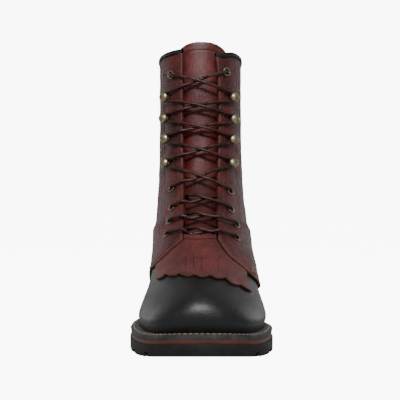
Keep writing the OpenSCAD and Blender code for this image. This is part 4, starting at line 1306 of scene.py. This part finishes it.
def hook_base():
    bpy.ops.object.select_all(action="DESELECT")
    bpy.ops.mesh.primitive_cylinder_add(vertices=32, radius=4 * MM, depth=0.6 * MM,
                                        location=(0, 0, 0.55 * MM))
    bpy.ops.object.transform_apply(location=True)
    base = bpy.context.object
    bpy.ops.object.mode_set(mode="EDIT")
    bpy.ops.mesh.select_mode(type="FACE")
    bpy.ops.mesh.select_all(action="DESELECT")
    bpy.ops.object.mode_set(mode="OBJECT")
    for face in base.data.polygons:
        face.select = face.normal.z > 0.9
    bpy.ops.object.mode_set(mode="EDIT")
    bpy.ops.mesh.inset(thickness=1.7 * MM)
    bpy.ops.mesh.extrude_region_move(TRANSFORM_OT_translate={"value": (0, 0, 0.35 * MM)})
    bpy.ops.mesh.inset(thickness=0.7 * MM)
    bpy.ops.mesh.extrude_region_move(TRANSFORM_OT_translate={"value": (0, 0, -0.8 * MM)})
    bpy.ops.object.mode_set(mode="OBJECT")
    apply(base, "BEVEL", width=0.12 * MM, segments=2, limit_method="ANGLE", angle_limit=math.radians(40))
    return base


def hook_strap():
    def place(f, g):
        line = curve(STRAP, g)
        width = mix(2.3, 1.5, smooth(g, 0, 0.7))
        return np.c_[line[:, 0], (1 - 2 * f) * width, line[:, 1]] * MM

    return cut_sheet("strap", 8, 24, place, 0.8, [hook_brass], 0.2)


def hook_cap(side):
    bpy.ops.object.select_all(action="DESELECT")
    bpy.ops.mesh.primitive_uv_sphere_add(segments=32, ring_count=18, radius=1)
    cap = bpy.context.object
    co = vertices_of(cap)
    co[:, 2] = np.where(co[:, 2] < 0, co[:, 2] * 0.22, co[:, 2])
    lean = math.radians(CAP_TILT)
    co = co * [CAP_R, CAP_R, CAP_HEIGHT]
    tilted = np.c_[co[:, 0] * math.cos(lean) + co[:, 2] * math.sin(lean), co[:, 1],
                   co[:, 2] * math.cos(lean) - co[:, 0] * math.sin(lean)]
    move_vertices(cap, (tilted + (CAP_INSET[side], 0, CAP_LIFT)) * MM)
    return cap


for side, name in SIDES:
    made = []
    for x, v in HOOKS[side]:
        turn, at = aligned(x, v)
        for part in (hook_base(), hook_strap(), hook_cap(side)):
            if side == RIGHT:
                co = vertices_of(part)
                co[:, 0] *= -1
                move_vertices(part, co)
                part.data.flip_normals()
            placed(part, turn, at)
            made.append(part)
    hooks = joined("hooks_brass_" + name, made)
    coat(hooks, hook_brass)
    soften(hooks, 50)
    settle(hooks, "boot", "antique_brass", "hooks_" + name)

# ---- Lace: one braided waxed lace. It starts as a bar between the lowest eyelets, crosses up
# through the eyelets and round the hooks, and goes in through the top pair of eyelets.
lace = round_cord("lace_braid", through(lace_points, 5), LACE_D, 0.8, 4, 0.09, lace_finish)
settle(lace, "boot", "lace_cord", "lace")

# ---- Bar tacks: a small leather stay is sewn over the lower corner of each quarter with dense
# pale thread, where the seam takes the strain
stay_leather = leather_finish("stay_leather", (112, 84, 74), (146, 116, 104), 1.0, 0.1, (0.5, 0.62), 0.3,
                              {"Specular IOR Level": 0.4})
STAY_PLACES = ((-0.5, 0.16), (0.33, 0.202))
STAY_HALF_U, STAY_HALF_V = 0.012, 0.014
stays, runs = [], []
for u0, v0 in STAY_PLACES:
    def stay_place(f, g):
        u = mix(u0 - STAY_HALF_U, u0 + STAY_HALF_U, f)
        v = mix(v0 - STAY_HALF_V, v0 + STAY_HALF_V, g)
        return skin(u, v, lap(u, v) + 1.05)

    stays.append(cut_sheet("stay", 10, 14, stay_place, 0.7, [stay_leather], 0.2, (0.009, 0.01)))
    for v in np.linspace(v0 - 0.010, v0 + 0.010, 7):
        runs.append(seam_run(np.linspace(u0 - 0.009, u0 + 0.009, 20), np.full(20, v), lap(0.4, v) + 1.15))
stay = joined("corner_stays", stays)
settle(stay, "boot", "tack_thread", "bar_tacks")
tack_thread = thread_finish("tack_thread_pale", (132, 108, 92), (92, 70, 58))
settle(stitched("corner_tack_stitches", runs, 1.6, 0.28, tack_thread), "boot", "tack_thread")

# ---- Studio: a plain pale floor and a white surround. Two tall soft lights behind the sides and
# a small one above the toe show in the leather's gloss. The large lights in front, behind and
# at the sides only fill, and give no reflection of their own.
bpy.ops.object.select_all(action="DESELECT")
bpy.ops.mesh.primitive_plane_add(size=60, location=(0, 0, 0))
floor = bpy.context.object
floor.name = "floor"
paper = Finish("floor_paper", {"Roughness": 0.9, "Specular IOR Level": 0.1, "Emission Color": (1, 1, 1, 1)})
paper.colour(paper.blend(paper.ramp(paper.noise(300), 0.3, 0.7), (0.3, 0.3, 0.3, 1), (0.34, 0.34, 0.34, 1)))
in_view = paper.add("LightPath", {}).outputs["Is Camera Ray"]
paper.tree.links.new(paper.ramp(in_view, 0, 1, 0.03, 9.0), paper.shader.inputs["Emission Strength"])
floor.data.materials.append(paper.material)

world = bpy.data.worlds.new("studio")
world.use_nodes = True
sky = world.node_tree
background = sky.nodes["Background"]
background.inputs["Color"].default_value = (1, 1, 1, 1)
seen = sky.nodes.new("ShaderNodeLightPath").outputs["Is Camera Ray"]
brightness = sky.nodes.new("ShaderNodeMapRange")
brightness.inputs["To Min"].default_value = 0.28
brightness.inputs["To Max"].default_value = 9.0
sky.links.new(seen, brightness.inputs["Value"])
sky.links.new(brightness.outputs["Result"], background.inputs["Strength"])
bpy.context.scene.world = world


def softbox(name, power, size, place, target, mirrored=True):
    """A rectangular soft light. One that isn't mirrored gives no reflection of its own."""
    data = bpy.data.lights.new(name, "AREA")
    data.shape = "RECTANGLE"
    data.size, data.size_y = size
    data.energy = power
    light = bpy.data.objects.new(name, data)
    light.location = place
    light.rotation_euler = (Vector(target) - Vector(place)).to_track_quat("-Z", "Y").to_euler()
    light.visible_glossy = mirrored
    bpy.context.scene.collection.objects.link(light)


for side, name in SIDES:
    softbox("side_light_" + name, 1.7, (0.4, 0.7), (side * 0.95, 0.95, 0.24), (0, 0, 0.12))
softbox("toe_light", 4.4, (0.26, 0.12), (0, -0.62, 0.62), (0, -0.11, 0.06))
softbox("key_light", 9.0, (0.9, 0.5), (-0.1, -1.1, 1.35), (0, 0, 0.16), False)
softbox("back_light", 9.0, (1.2, 0.6), (0, 1.5, 1.1), (0, 0, 0.14), False)
for side, name in SIDES:
    softbox("fill_light_" + name, 3.0, (0.6, 0.6), (side * 1.6, 0.2, 0.7), (0, 0, 0.14), False)
